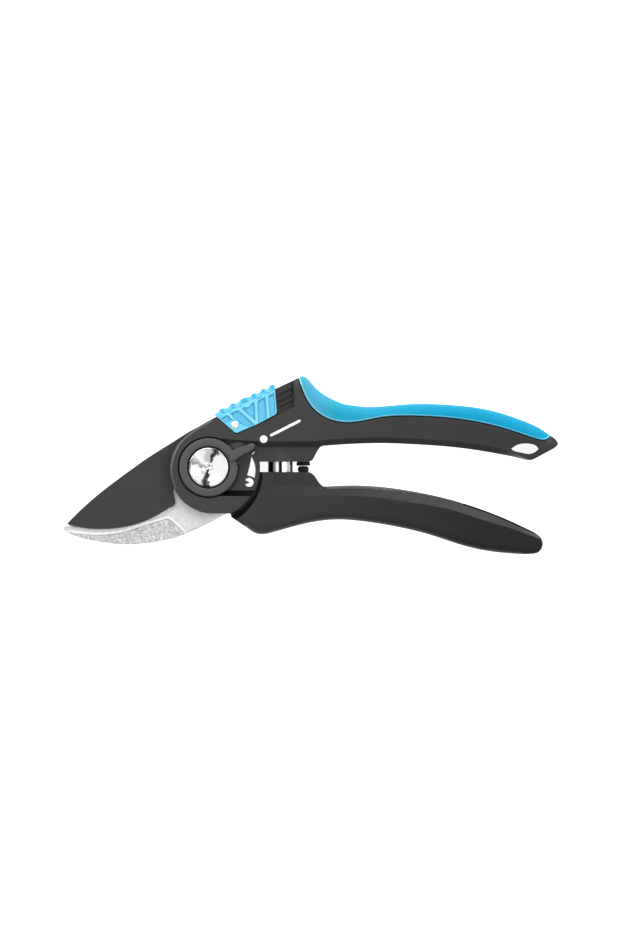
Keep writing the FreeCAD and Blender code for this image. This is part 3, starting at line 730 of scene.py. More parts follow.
TOP_START, TOP_END = (2.3, 21.0), (38.2, 38.0)
HEAD_CORNER = (9.5, -19.6)
HEAD_LEFT = spline([
    TOP_START, (-3.9, 17.5), (-9.6, 13.5), (-13.3, 9.4), (-15.5, 4.6), (-16.4, 0.0), (-16.0, -4.6),
    (-14.4, -9.4), (-9.6, -15.5), (-3.4, -18.9),
])
HEAD_FOOT = spline([(-3.4, -18.9), (0.2, -19.55), (2.5, -19.6)])
UNDERSIDE = spline([
    (49.2, 9.2), (60.9, 9.95), (74.4, 10.25), (88.0, 9.75), (101.6, 8.8), (115.2, 7.1), (128.7, 4.7),
])
TAIL_CORNER = spline([(128.7, 4.7), (134.4, 3.3), (136.5, 3.0), (138.6, 3.7)], 0.4)
TAIL_END = spline([(146.2, 7.8), (148.3, 10.1), (147.2, 12.0), (145.2, 13.5)], 0.4)
PALM = spline([
    (145.2, 13.5), (142.0, 15.8), (132.1, 20.4), (118.6, 24.5), (103.0, 26.5), (84.0, 26.8), (66.0, 25.8),
    (57.0, 27.0),
])
HORN = spline([(57.0, 27.0), (49.9, 30.4), (44.6, 34.8), (41.7, 38.0), (39.9, 38.8), TOP_END])
GRIP_EDGE = spline([
    TOP_END, (40.8, 30.7), (44.6, 24.9), (51.0, 20.6), (59.0, 19.1), (72.9, 21.2), (90.0, 21.8),
    (112.5, 19.6), (131.4, 14.7), (139.6, 12.0), (142.6, 11.7), (144.8, 13.0), (145.2, 13.5),
])
HANG_TOP = spline([
    (128.5, 7.9), (131.0, 9.5), (134.6, 10.15), (137.6, 9.85), (139.5, 9.0), (140.3, 7.7),
], 0.4)
HANG_BOTTOM = spline([
    (140.3, 7.7), (138.8, 6.5), (136.0, 5.7), (132.3, 6.35), (129.3, 7.2), (128.5, 7.9),
], 0.4)

LOWER_INNER = spline([
    (48.9, -8.2), (60.9, -7.7), (74.4, -8.4), (88.0, -10.4), (101.6, -13.4), (115.2, -17.6), (128.7, -23.0),
    (138.4, -27.6),
])
LOWER_TAIL = spline([
    (138.4, -27.6), (141.3, -30.2), (141.9, -32.4), (141.3, -34.7), (139.8, -36.2), (137.0, -36.8),
    (131.0, -36.8),
], 0.4)
LOWER_PALM = spline([
    (131.0, -36.8), (122.0, -36.0), (108.4, -33.3), (94.8, -28.9), (81.2, -25.5), (67.7, -23.2),
    (56.0, -22.2), (45.0, -23.1), (33.7, -25.8), (25.2, -28.2),
])
LOWER_CORNER = spline([(25.2, -28.2), (20.6, -28.2), (16.0, -25.4)], 0.5)
LOWER_CREST = spline([
    (18.0, -11.8), (36.0, -11.9), (48.9, -12.0), (60.9, -12.1), (74.4, -13.2), (88.0, -15.2), (101.6, -17.7),
    (115.2, -21.9), (128.7, -26.1), (141.0, -30.6),
])


UPPER_LUG_END = spline([
    (42.8, LUG_GAP[1]), (43.8, 2.9), (44.8, 4.2), (46.8, 7.8), (47.8, 8.8), (49.2, 9.2),
], 0.5)
LOWER_LUG_END = spline([(42.6, LUG_GAP[0]), (44.0, -2.7), (45.6, -4.5), (47.6, -7.2), (48.9, -8.2)], 0.5)


def upper_outline():
    start = math.degrees(math.atan2(HEAD_CORNER[1], HEAD_CORNER[0]))
    end = math.degrees(math.asin(LUG_GAP[1] / HEAD_R))
    head_top = arc(HEAD_R, end, end + 0.1)[0]
    return joined(
        HEAD_LEFT, HEAD_FOOT, straight((2.5, -19.6), arc(HEAD_R, start, start + 0.1)[0]),
        arc(HEAD_R, start, end), straight(head_top, UPPER_LUG_END[0]), UPPER_LUG_END, UNDERSIDE,
        TAIL_CORNER, straight(TAIL_CORNER[-1], TAIL_END[0]), TAIL_END, GRIP_EDGE[::-1],
        straight(TOP_END, TOP_START),
    )


def lower_outline():
    end = math.degrees(math.asin(LUG_GAP[0] / SHOULDER_R))
    shoulder = arc(SHOULDER_R, -66.0, end)
    return joined(
        shoulder, straight(shoulder[-1], LOWER_LUG_END[0]), LOWER_LUG_END, LOWER_INNER, LOWER_TAIL,
        LOWER_PALM, LOWER_CORNER, straight(LOWER_CORNER[-1], shoulder[0]),
    )


# ---------------------------------------------------------------- upper handle and grip

SLIDER_OUTLINE = np.array([
    (2.4, 22.4), (11.6, 14.3), (21.1, 18.4), (29.1, 22.7), (28.7, 34.6), (23.0, 32.2), (4.9, 24.5),
])


def lug_mouth(side):
    """Y of the lug's face towards the other handle; side is +1 for the upper handle, -1 for the lower."""
    return LUG_GAP[1] if side > 0 else LUG_GAP[0]


def bulge_radius(y, side):
    """Radius of the wall around a spring pocket, shrinking away from the gap."""
    return BULGE_R - 0.9 * np.clip(side * (y - lug_mouth(side)) / LUG_HEIGHT, 0, 1.5)


def bulge_height(points, side):
    r = bulge_radius(points[:, 1], side)
    across = np.abs(points[:, 0] - SPRING_X)
    return np.where(across < r, np.sqrt(np.maximum(r ** 2 - across ** 2, 0.0)), 0.0)


def bulge_line(side):
    """Where a pocket's wall meets the lug plate."""
    level = MID - PLATE_DROP
    y = lug_mouth(side) + side * np.linspace(0.0, LUG_HEIGHT, 9)
    half = np.sqrt(np.maximum(bulge_radius(y, side) ** 2 - level ** 2, 0.0))
    left, right = np.c_[SPRING_X - half, y], np.c_[SPRING_X + half, y]
    return np.concatenate([left, right[::-1]])


def spring_pocket(side):
    """Tapered tool that cuts a handle's half of the spring's room out of its lug."""
    mouth = lug_mouth(side)
    bottom, outside = mouth + side * POCKET_DEPTH, mouth - side * 1.0
    inner, outer = POCKET_R
    profile = [(0.0, bottom), (inner, bottom), (outer, mouth), (outer, outside), (0.0, outside)]
    return lathe("pocket_tool", profile[::-side], (SPRING_X, 0.0, MID), "Y")


# The lower level's upper boundary, from the head along the handle's underside.
BAND_LINE = np.concatenate([straight((0.0, PLATE_EDGE), (46.4, PLATE_EDGE)), UNDERSIDE, TAIL_CORNER[1:-6]])


def band_width(x):
    """Width of the sloped band, which narrows to nothing at the tail."""
    return BAND * np.clip((BAND_LINE[-1, 0] + 1.0 - x) / BAND_FADE, 0.02, 1.0)


# Room that the dial's lever sweeps through, beside the dial's own recess.
LEVER_ROOM = filled(np.array([
    (4.9, 12.3), (12.0, 11.6), (19.2, 11.1), (20.6, 10.4), (21.2, 8.4), (13.0, 8.0), (8.0, 9.0),
])[::-1], 0.8)


def rail_recess():
    """Outline of the step that the slider's cheek runs in, open along the top edge."""
    clear = 0.35
    far = SLIDER_OUTLINE[3:5] + SLIDE_AXIS * (SLIDE_TRAVEL + clear)
    low = SLIDER_OUTLINE[1:3] + np.array([clear * 0.6, -clear])
    points = [
        (-1.2, 24.6), (1.6, 22.5), *low, far[0] - (0.0, clear), far[1] + (0.1, 6.0), (-1.0, 30.0),
    ]
    return filled(rounded(points, [0, 0, 1.2, 3.0, 1.0, 0, 0]), 1.0)


RAILS_BELOW = (2.2, 4.6, 7.0)     # of the guide ribs' middles, below the top edge
RAIL_HALF = 0.55


def rails(points):
    """Height of the guide ribs inside the slider's recess."""
    t = points @ SLIDE_UP
    top = np.array(TOP_START) @ SLIDE_UP
    height = np.zeros(len(points))
    for below in RAILS_BELOW:
        rib = np.clip((RAIL_HALF - np.abs(t - (top - below))) / 0.15, 0, 1)
        height = np.maximum(height, 1.1 * rib)
    return height


def rail_lines():
    """The edges of the guide ribs."""
    top, along = np.array(TOP_START) @ SLIDE_UP, np.array(TOP_START) @ SLIDE_AXIS
    out = []
    for below in RAILS_BELOW:
        for shift in (-RAIL_HALF, -0.4, 0.4, RAIL_HALF):
            base = SLIDE_UP * (top - below + shift)
            ends = base + SLIDE_AXIS * (along + 2.0), base + SLIDE_AXIS * (along + 37.0)
            out.append((straight(*ends), False))
    return out


def make_upper_handle():
    outline = upper_outline()
    hole = joined(HANG_TOP, HANG_BOTTOM)
    palm = np.concatenate([PALM, HORN[1:]])
    recess = Pocket(rail_recess(), FRONT - RAIL_FLOOR)
    dial = Pocket(circle(DIAL_RECESS_R), FRONT - DIAL_FLOOR, 0.15)
    nut = Pocket(circle(NUT_R + 0.25), 3.5, 0.1)
    lever = Pocket(LEVER_ROOM, PLATE_DROP)
    head_edge = np.concatenate([HEAD_LEFT[2:], HEAD_FOOT])

    def shared(p):
        edge = round_drop(np.minimum(distance(p, outline, True), distance(p, hole, True)), EDGE)
        return np.maximum.reduce([edge, round_drop(distance(p, palm), PALM_ROUND), recess.drop(p)])

    def level(p, head):
        """The sloped band and the lower level behind it."""
        x, y = p.T
        south = y < np.interp(x, BAND_LINE[:, 0], BAND_LINE[:, 1])
        upper = np.where(south, 0.0, distance(p, BAND_LINE))
        upper = np.where(x < 5.0 if head else x < 26.6, 99.0, upper)
        band = ramp(upper, band_width(x), PLATE_DROP)
        if head:
            foot = PLATE_DROP * np.clip((y - FOOT_Y[1]) / BAND, 0, 1)
            band = np.where((y < 0) & (x > FOOT_X[0]), foot, band)
        return band

    def top(p):
        chamfer = ramp(distance(p, head_edge), 0.9, 0.8)
        drop = np.maximum.reduce([shared(p), level(p, True), dial.drop(p), lever.drop(p), chamfer])
        height = FRONT - drop
        in_recess = inside(p, recess.loop) & (distance(p, recess.loop, True) > recess.draft)
        height = np.where(in_recess, height + rails(p), height)
        return np.maximum(height, np.where(p[:, 1] > 0, MID + bulge_height(p, +1), 0.0))

    def bottom(p):
        chamfer = ramp(distance(p, head_edge), 0.9, 0.8)
        low = np.maximum.reduce([shared(p), level(p, False), nut.drop(p), chamfer])
        return np.minimum(low, np.where(p[:, 1] > 0, MID - bulge_height(p, +1), 99.0))

    lines = beside(outline, ring_distances(EDGE, 3), True) + beside(hole, ring_distances(EDGE, 3), True)
    lines += beside(palm, ring_distances(PALM_ROUND, 8))
    across = offset(BAND_LINE, 1.0) - BAND_LINE
    lines += [(BAND_LINE, False), (BAND_LINE + across * band_width(BAND_LINE[:, 0])[:, None], False)]
    lines += beside(GRIP_EDGE, [-0.45]) + beside(head_edge, [0.55])
    lines += [(straight((FOOT_X[0], y), (FOOT_X[1], y)), False) for y in FOOT_Y]
    lines += beside(head_edge, [0.9]) + [(bulge_line(+1), False)]
    lines += recess.lines() + dial.lines() + nut.lines() + lever.lines() + rail_lines()
    handle = relief("upper_handle_shell", outline, top, bottom, lines, 1.6, [hole])

    pin = np.array(((PIN_LOW + PIN_HIGH) / 2)[:2])
    groove = slot_loop(pin, pin + SLIDE_AXIS * 16.7, 2.8)
    slot = slot_loop(pin, pin + SLIDE_AXIS * (SLIDE_TRAVEL + 0.2), 1.85)
    carve(handle, [
        block("slot_tool", circle(SLOT_R), *SLOT_Z),
        block("groove_tool", groove, 14.0, 20.0),
        block("pin_tool", slot, 9.2, 20.0),
        spring_pocket(+1),
    ])
    piece(handle, "upper_side", BLACK, ["upper_handle"])
    # Painted shade: near-black in the seam along the grip's edge.
    second_finish(handle, PAINTED_SHADE_BLACK, ribbon(GRIP_EDGE, -0.45, 0.3))
    # Painted shade: near-black over the sloped foot of the head's lower level.
    (left, right), (high, low) = FOOT_X, FOOT_Y
    second_finish(handle, PAINTED_SHADE_BLACK, np.array([(left, high), (right, high), (right, low), (left, low)]))
    # Painted highlight: a lighter grey line along the crest of the head's chamfer.
    second_finish(handle, PAINTED_HIGHLIGHT_GREY, ribbon(head_edge[head_edge[:, 1] > -10.0], 0.55, 0.9))


def slot_loop(p, q, radius):
    """A stadium-shaped loop from p to q."""
    along = (q - p) / np.linalg.norm(q - p)
    turn = math.degrees(math.atan2(along[1], along[0]))
    return np.concatenate([arc(radius, turn - 90, turn + 90, q), arc(radius, turn + 90, turn + 270, p)])


def make_grip():
    palm = np.concatenate([PALM, HORN[1:]])
    outline = joined(palm, GRIP_EDGE)

    def drop(p):
        seam = round_drop(distance(p, GRIP_EDGE), 0.9)
        return np.maximum(seam, round_drop(distance(p, palm), PALM_ROUND)) - 0.12

    lines = beside(palm, ring_distances(PALM_ROUND, 10))
    lines += beside(GRIP_EDGE, ring_distances(0.9, 4) + [0.16, 0.62])
    grip = relief("upper_grip_rubber", outline, lambda p: FRONT - np.maximum(drop(p), 0.0),
                  lambda p: np.maximum(drop(p), 0.0), lines, 1.3)
    piece(grip, "upper_side", BLUE, ["upper_grip"])
    # Painted highlight: a pale blue band along the grip's seam edge.
    second_finish(grip, PAINTED_HIGHLIGHT_BLUE, ribbon(GRIP_EDGE, 0.16, 0.62))


# ---------------------------------------------------------------- lower handle

def make_lower_handle():
    outline = lower_outline()
    palm = np.concatenate([LOWER_TAIL[-6:], LOWER_PALM[1:], LOWER_CORNER[1:]])
    inner = np.concatenate([[(18.0, -7.7), (48.2, -7.7)], LOWER_INNER, LOWER_TAIL[1:6]])
    step_r, step_x, step_y = SHOULDER_STEP

    def drop(p):
        x, y = p.T
        y_line = np.interp(x, LOWER_CREST[:, 0], LOWER_CREST[:, 1])
        y_edge = np.interp(x, inner[:, 0], inner[:, 1])
        band = PLATE_DROP * np.clip((y - y_line) / np.maximum(y_edge - y_line, 0.3), 0, 1)
        edge = round_drop(distance(p, outline, True), EDGE)
        tail = round_drop(distance(p, LOWER_TAIL), LOWER_TAIL_ROUND)
        hollow = np.hypot(x - step_x, y - step_y) - step_r
        step = SHOULDER_STEP_DROP * np.clip(1 - hollow / 0.12, 0, 1)
        return np.maximum.reduce([band, edge, tail, step, round_drop(distance(p, palm), LOWER_PALM_ROUND)])

    def top(p):
        wall = np.where(p[:, 1] < 0, MID + bulge_height(p, -1), 0.0)
        return np.maximum(FRONT - drop(p), wall)

    def bottom(p):
        wall = np.where(p[:, 1] < 0, MID - bulge_height(p, -1), 99.0)
        return np.minimum(drop(p), wall)

    lines = beside(outline, ring_distances(EDGE, 3), True)
    lines += beside(palm, ring_distances(-LOWER_PALM_ROUND, 7))
    lines += beside(LOWER_TAIL, ring_distances(-LOWER_TAIL_ROUND, 4))
    lines += [(LOWER_CREST, False), (filled(inner[:2], 1.0, False), False), (bulge_line(-1), False)]
    lines += [(arc(step_r + grow, -75.0, 0.0, (step_x, step_y)), False) for grow in (0.0, 0.12)]
    lines += beside(LOWER_INNER, [-0.75])
    handle = relief("lower_handle_shell", outline, top, bottom, lines, 1.6)

    relief_loop = joined(arc(26.2, -70.0, -52.0), arc(20.0, -52.0, -70.0))
    carve(handle, [
        spring_pocket(-1),
        block("hook_tool", relief_loop, HOOK_Z[0] - 0.4, HOOK_Z[1] + 0.05),
        block("strip_tool", strip_loop(1.3, 0.3), -1.0, FRONT + 1.0),
        block("strip_groove_tool", strip_loop(1.5, 0.3), FRONT - SHOULDER_Z - 1.0, FRONT + 1.0),
    ])
    piece(handle, "lower_side", LOWER_BLACK, ["lower_handle"])
    # Painted light and shade on the sloped band between the crest and the inner edge.
    band = np.concatenate([LOWER_CREST, inner[::-1] + (0.0, 0.3)])
    second_finish(handle, BAND_PAINTED_SHADING, band)
    # Painted shade: a near-black line along the inner edge beyond the insert.
    second_finish(handle, PAINTED_SHADE_BLACK, ribbon(LOWER_INNER[LOWER_INNER[:, 0] > 107.5], 0.3, -0.75))
    # Painted shade: near-black in the hollow of the shoulder step.
    second_finish(handle, PAINTED_SHADE_BLACK, arc(step_r + 0.12, -75.0, 75.0, (step_x, step_y)))


# ---------------------------------------------------------------- blades

SPINE = spline([
    (-60.5, -24.2), (-55.4, -19.0), (-45.2, -10.1), (-35.0, -2.4), (-24.8, 4.8), (-14.6, 11.2),
    (-7.0, 15.9), (0.0, 19.2),
])
BLADE_EDGE = spline([
    (-15.9, -17.1), (-20.6, -20.0), (-29.1, -24.0), (-37.5, -26.0), (-46.0, -26.6), (-54.5, -25.9),
    (-60.5, -24.2),
])
HOOK_OUTER = spline([
    (-60.4, -27.7), (-55.4, -29.8), (-50.3, -31.1), (-42.6, -32.4), (-35.0, -33.0), (-27.4, -32.5),
    (-19.7, -31.4), (-12.1, -29.4), (-4.5, -26.3), (3.2, -22.4), (8.6, -19.4),
])
HOOK_INNER = spline([
    (-61.9, -25.0), (-54.0, -24.4), (-46.0, -24.8), (-37.0, -24.2), (-29.0, -22.0), (-21.0, -17.8),
    (-16.3, -12.0), (-15.3, -8.0),
])
HUB_R = 16.0
BUSHING_R = 6.0


def make_blade():
    """The cutting blade: pointed, bevelled along its convex edge, with its hub and tang."""
    start = arc(HUB_R, -75.0, -152.0)
    heel = spline([start[-1], (-15.0, -8.8), (-14.9, -12.0), (-14.4, -15.6), BLADE_EDGE[0]], 0.5)
    outline = joined(
        SPINE, arc(19.2, 90.0, 53.0), arc(22.0, 50.0, 38.0), arc(HUB_R, 28.0, -22.0),
        spline([arc(HUB_R, -22.0, -21.9)[0], (24.0, -11.0), (46.0, -13.0), (73.0, -14.6)]),
        arc(2.4, 90.0, -90.0, (73.0, -17.0)),
        spline([(73.0, -19.4), (46.0, -18.6), (26.0, -20.8), (14.0, -19.0), start[0]]), start,
        heel, BLADE_EDGE,
    )
    bore = circle(BUSHING_R + 0.05)
    width = 0.6
    low, high = BLADE_Z

    def top(p):
        bevel = ramp(distance(p, BLADE_EDGE), width, high - low - 0.15)
        spine = ramp(distance(p, SPINE), 0.35, 0.3)
        return high - np.maximum.reduce([bevel, spine, ramp(distance(p, heel), 0.25, 0.25)])

    lines = [(offset(line, -d), False)
             for line, d in ((BLADE_EDGE, width), (BLADE_EDGE, 0.2), (heel, 0.25), (SPINE, 0.35))]
    blade = relief("cutting_blade_body", outline, top, lambda p: np.full(len(p), low), lines, 2.0, [bore])
    piece(blade, "lower_side", COATING, ["cutting_blade"])
    # Bare ground steel along the cutting edge; its extra brightness over the hook's steel is a painted highlight.
    second_finish(blade, GROUND_STEEL_PAINTED_HIGHLIGHT, ribbon(BLADE_EDGE[BLADE_EDGE[:, 0] > -56.0], 0.3, -0.2), 0.05)


PANEL_TOP = spline([
    (-60.6, -27.2), (-56.0, -27.9), (-47.8, -28.6), (-36.5, -27.4), (-28.9, -25.1), (-17.4, -21.6),
])
PANEL_END = rounded([(-17.4, -21.6), (-16.2, -22.3), (-9.6, -28.2)], 0.8, False)


def make_hook():
    """The counter-blade: ground cutting side, grained recessed panel, hub and tang."""
    hub_r, neck_r, neck_start = 20.8, 15.2, 143.0
    end = math.degrees(math.atan2(-19.4, 8.6))
    inner_end = math.degrees(math.atan2(-8.0, -15.3)) + 360.0
    tip = rounded([HOOK_INNER[0], (-62.0, -26.5), HOOK_OUTER[0]], 0.8, False)
    hub = arc(neck_r, neck_start, inner_end)
    neck = spline([(4.0, 18.0), (-5.0, 14.2), hub[0]])
    outline = joined(
        tip, HOOK_OUTER, straight(HOOK_OUTER[-1], arc(hub_r, end, end + 0.1)[0]), arc(hub_r, end, 30.0),
        spline([arc(hub_r, 30.0, 30.1)[0], (24.0, 12.6), (40.0, 13.2), (88.0, 15.4)]),
        arc(2.1, -90.0, 90.0, (88.0, 17.5)),
        spline([(88.0, 19.6), (60.0, 18.6), (36.0, 20.0), (16.0, 20.2), (4.0, 18.0)]), neck, hub,
        straight(hub[-1], HOOK_INNER[-1]), HOOK_INNER[::-1],
    )
    bore = circle(BUSHING_R)
    low, high = HOOK_Z
    panel_line = np.concatenate([PANEL_TOP, PANEL_END[1:]])
    below = HOOK_OUTER[HOOK_OUTER[:, 0] < PANEL_END[-1][0]]
    panel = np.concatenate([panel_line, below[::-1] + (0.0, -3.0)])

    def top(p):
        sunk = np.where(inside(p, panel), 0.45 * np.clip(distance(p, panel_line) / 0.4, 0, 1), 0.0)
        outer = round_drop(distance(p, HOOK_OUTER), HOOK_ROUND)
        shear = round_drop(distance(p, HOOK_INNER), 0.25)
        return high - np.maximum.reduce([sunk, outer, shear])

    def bottom(p):
        return low + round_drop(distance(p, HOOK_OUTER), HOOK_ROUND)

    lines = beside(HOOK_OUTER, ring_distances(HOOK_ROUND, 5)) + beside(HOOK_INNER, [-0.25])
    lines += [(panel_line, False)] + beside(panel_line, (-0.4, -0.2, 0.9))
    hook = relief("counter_blade_body", outline, top, bottom, lines, 1.8, [bore])
    piece(hook, "upper_side", HOOK_STEEL, ["counter_blade"])
    second_finish(hook, GRAINED_STEEL, panel)
    # Painted highlight: a brighter band of the ground steel beside the panel's edge.
    second_finish(hook, GROUND_STEEL_PAINTED_HIGHLIGHT, ribbon(panel_line, 0.9, -0.2))


# ---------------------------------------------------------------- pivot: bolt, dial

def make_bolt():
    """Chromed bolt with a dished head and a riveted centre."""
    r, top = BOLT_HEAD_R, BOLT_TOP
    under, rim_r = top - 3.6, 0.4
    dish_r, dish_depth = 7.6, 1.5
    hollow = (dish_r ** 2 + dish_depth ** 2) / (2 * dish_depth)
    dish = [(d, top + math.sqrt(hollow ** 2 - dish_r ** 2) - math.sqrt(hollow ** 2 - d ** 2))
            for d in np.linspace(dish_r, 2.4, 14)]
    rivet = (
        (2.2, 1.42), (1.95, 1.55), (1.7, 1.45), (1.35, 1.12), (0.85, 1.05), (0.55, 1.2), (0.3, 1.6),
        (0.0, 1.7),
    )
    centre = [(d, top - depth) for d, depth in rivet]
    rim = [(r - rim_r + rim_r * math.cos(a), top - rim_r + rim_r * math.sin(a))
           for a in np.linspace(0, math.pi / 2, 6)]
    shank = [(0.0, 0.3), (3.3, 0.3), (4.0, 0.9), (4.0, under)]
    profile = shank + [(r - 0.25, under), (r, under + 0.25)] + rim + dish + centre
    bolt = lathe("bolt_body", profile, segments=128)
    piece(bolt, "upper_side", CHROME, ["pivot_bolt"])


LEVER_ANGLE = math.radians(25.7)


def turned(points):
    """Points given along and across the dial's lever."""
    c, s = math.cos(LEVER_ANGLE), math.sin(LEVER_ANGLE)
    return np.array([(x * c - y * s, x * s + y * c) for x, y in points])


def make_dial():
    """Dial ring with its tapered lever, the web under the lever and the flange under the bolt."""
    inner, outer, low, high = 9.0, DIAL_R, DIAL_LOW.z, DIAL_LOW.z + 4.15
    soft, draft = 0.6, 0.1
    foot, web_z, crest = PLATE_Z + 0.15, PLATE_Z + 0.9, high + 1.0
    tip = rounded(turned([(21.2, -1.35), (22.0, 0.0), (21.2, 1.35)]), 0.6, False)
    root = turned([(12.1, 2.5)])[0]
    start = math.degrees(math.atan2(root[1], root[0]))
    ring_edge = arc(outer, math.degrees(math.atan2(9.9, 9.2)) + 1.0, 363.7)
    web = spline([ring_edge[-1], (15.9, 2.9), (18.3, 5.2), turned([(19.8, -1.5)])[0]])
    lug = [turned([(17.3, 1.9)])[0], (14.9, 10.1), (13.5, 10.9), (9.2, 9.9)]
    lug = filled(rounded(np.array(lug), 0.3, False), 0.6, False)
    outline = joined(ring_edge, web, straight(web[-1], tip[0]), tip, straight(tip[-1], lug[0]), lug,
                     straight(lug[-1], ring_edge[0]))
    lever = filled(np.concatenate([turned([(9.7, -2.4)]), tip, turned([(9.7, 2.5)])]), 0.8)
    bore = circle(4.6)

    def top(p):
        r = np.hypot(*p.T)
        edge = np.minimum(outer - r, r - inner)
        body = high - round_drop(np.maximum(edge, 0.0), soft)
        body = np.where(r < inner + draft / 2, low + 0.5, body)
        body = np.where(r > outer, web_z - 0.6 * ramp(distance(p, web), 0.5, 1.0), body)
        near = distance(p, lever, True)
        bar = crest - 0.4 * ramp(near, 0.55, 1.0)
        mask = np.clip(near / draft, 0, 1)
        return np.where(inside(p, lever), body + (np.maximum(bar, body) - body) * mask, body)

    def bottom(p):
        return np.where(np.hypot(*p.T) > outer, foot, low)

    rings = [inner + draft + d for d in ring_distances(soft, 4)] + [inner, inner + draft]
    lines = [(circle(r), True) for r in rings]
    lines += [(arc(outer - d, start + 1, 362.7), False) for d in ring_distances(soft, 4)]
    lines += [(arc(outer, 5.0, start - 1.0), False), (arc(outer + draft, 5.0, start - 1.0), False)]
    lines += [(lever, True)] + beside(lever, [draft, 0.55], True)
    dial = relief("dial_ring_body", outline, top, bottom, lines, 1.4, [bore])
    piece(dial, "dial", DIAL_GREY, ["dial_ring"])
    # Painted shade: the web under the lever takes the darker black plastic instead of the dial's grey.
    painted_shade_below_lever = np.concatenate([arc(outer + draft, 3.0, 20.0), turned([(20.6, -1.6)]), web[::-1]])
    second_finish(dial, BLACK, painted_shade_below_lever)


# ---------------------------------------------------------------- lock slider and its pin

SLIDER_RIBS = [
    ((6.5, 24.6), (10.4, 20.6), 0.6), ((10.9, 26.8), (20.2, 18.5), 0.8), ((20.0, 31.2), (20.5, 18.5), 0.65),
    ((24.5, 32.8), (25.4, 20.8), 0.65),
]
SLIDER_BOSS = np.array([16.1, 27.4])
SLIDER_PAD = np.array([(7.0, 19.0), (9.0, 20.3), (12.0, 21.1), (16.4, 16.9), (12.0, 14.0), (6.0, 18.0)])
KNURLS = np.array([4.5, 9.4, 14.9, 19.4, 23.7, 27.9])
KNURL_WIDTHS = np.array([1.2, 1.2, 2.1, 1.2, 1.2, 1.2])


def edge_point(along, out=0.0):
    """A place along the handle's straight top edge, and how far outside it."""
    start = np.array(TOP_START)
    return start + SLIDE_AXIS * along + SLIDE_UP * out


def knurl(along):
    """Raised ridges across the slider's bridge, from 0 between them to 1 on top."""
    steps = (np.asarray(along)[..., None] - KNURLS) / KNURL_WIDTHS
    return (1.0 / (1.0 + steps ** 4)).max(axis=-1)


def make_slider():
    """Translucent lock slider: a ribbed cheek in front, a plain one behind and a knurled bridge."""
    along = np.arange(0.6, 29.6, 0.25)
    crown = np.array([edge_point(s, 1.45 + 0.8 * knurl(s)) for s in along])
    lower = rounded([crown[-1], *SLIDER_OUTLINE[[3, 2, 1]], crown[0]], [0, 1.6, 0.0, 1.4, 0], False)
    outline = joined(crown, filled(lower, 0.8, False))[::-1]
    face_z, rib_z = CHEEK_Z - 0.75, SLIDER_HIGH.z - 0.05
    step_line = straight(edge_point(1.5, -1.3), edge_point(28.4, -1.3))
    fold_line = straight(edge_point(0.5, 0.1), edge_point(29.2, 0.1))

    def rib_mask(p):
        out = np.zeros(len(p))
        for a, b, half in SLIDER_RIBS:
            d = distance(p, np.array([a, b]))
            out = np.maximum(out, np.clip((half - d) / 0.22 + 0.5, 0, 1))
        boss = np.hypot(*(p - SLIDER_BOSS).T)
        out = np.maximum(out, 0.75 * np.clip((2.05 - boss) / 0.22 + 0.5, 0, 1))
        pad = np.where(inside(p, SLIDER_PAD), distance(p, SLIDER_PAD, True), 0.0)
        return np.maximum(out, 0.6 * np.clip(pad / 0.3, 0, 1))

    def top(p):
        out = p @ SLIDE_UP - np.array(TOP_START) @ SLIDE_UP
        face = face_z + (rib_z - face_z) * rib_mask(p)
        border = distance(p, outline, True)
        lip = (CHEEK_Z - 0.1 - face_z) * np.clip((0.76 - border) / 0.2, 0, 1)
        face = np.maximum(face, np.where(out < -1.0, face_z + lip, 0.0))
        ridge = knurl(p @ SLIDE_AXIS - np.array(TOP_START) @ SLIDE_AXIS)
        band = CHEEK_Z - 0.05 - (1.4 - 0.9 * ridge) * np.clip((out + 0.1) / 0.3, 0, 1)
        face = np.where(out > -1.3, np.maximum(band, (face - 0.9) * (out < 0.1)), face)
        return face - round_drop(border, 0.35)

    def bottom(p):
        return SLIDER_LOW.z + round_drop(distance(p, outline, True), 0.4)

    lines = beside(outline, (0.06, 0.2, 0.36, 0.56, 0.76), True)
    lines += [(step_line, False), (fold_line, False)] + beside(fold_line, [0.25]) + beside(step_line, [0.15])
    for at, wide in zip(KNURLS, KNURL_WIDTHS):
        lines += [(straight(edge_point(at + s, 0.35), edge_point(at + s, 0.75), 0.5), False)
                  for s in (-wide * 1.2, -wide * 0.8, wide * 0.8, wide * 1.2)]
    for a, b, half in SLIDER_RIBS:
        lines += [(slot_loop(np.array(a), np.array(b), d), True) for d in (half - 0.12, half + 0.12)]
    lines += [(circle(r, SLIDER_BOSS), True) for r in (1.94, 2.17)] + [(filled(SLIDER_PAD, 0.8), True)]
    slider = relief("slider_body", outline, top, bottom, lines, 1.0)
    corners = ((-6.0, 0.1), (36.0, 0.1), (36.0, -30.0), (-6.0, -30.0))
    core = np.array([edge_point(*corner) for corner in corners])
    pin = circle(1.7, ((PIN_LOW + PIN_HIGH) / 2)[:2])
    back = np.array([
        (0.0, 10.0), (40.0, 10.0), (40.0, 27.5), (29.2, 24.4), (21.1, 20.6), (11.6, 16.6), (0.0, 22.4),
    ])
    carve(slider, [
        block("core_tool", core, 2.3, RAIL_FLOOR + 0.1),
        block("pin_tool", pin, RAIL_FLOOR, 25.0),
        block("back_tool", back[::-1], -2.0, 2.5),
    ])
    piece(slider, "lock", CLEAR_BLUE, ["lock_slider"], 25.0)


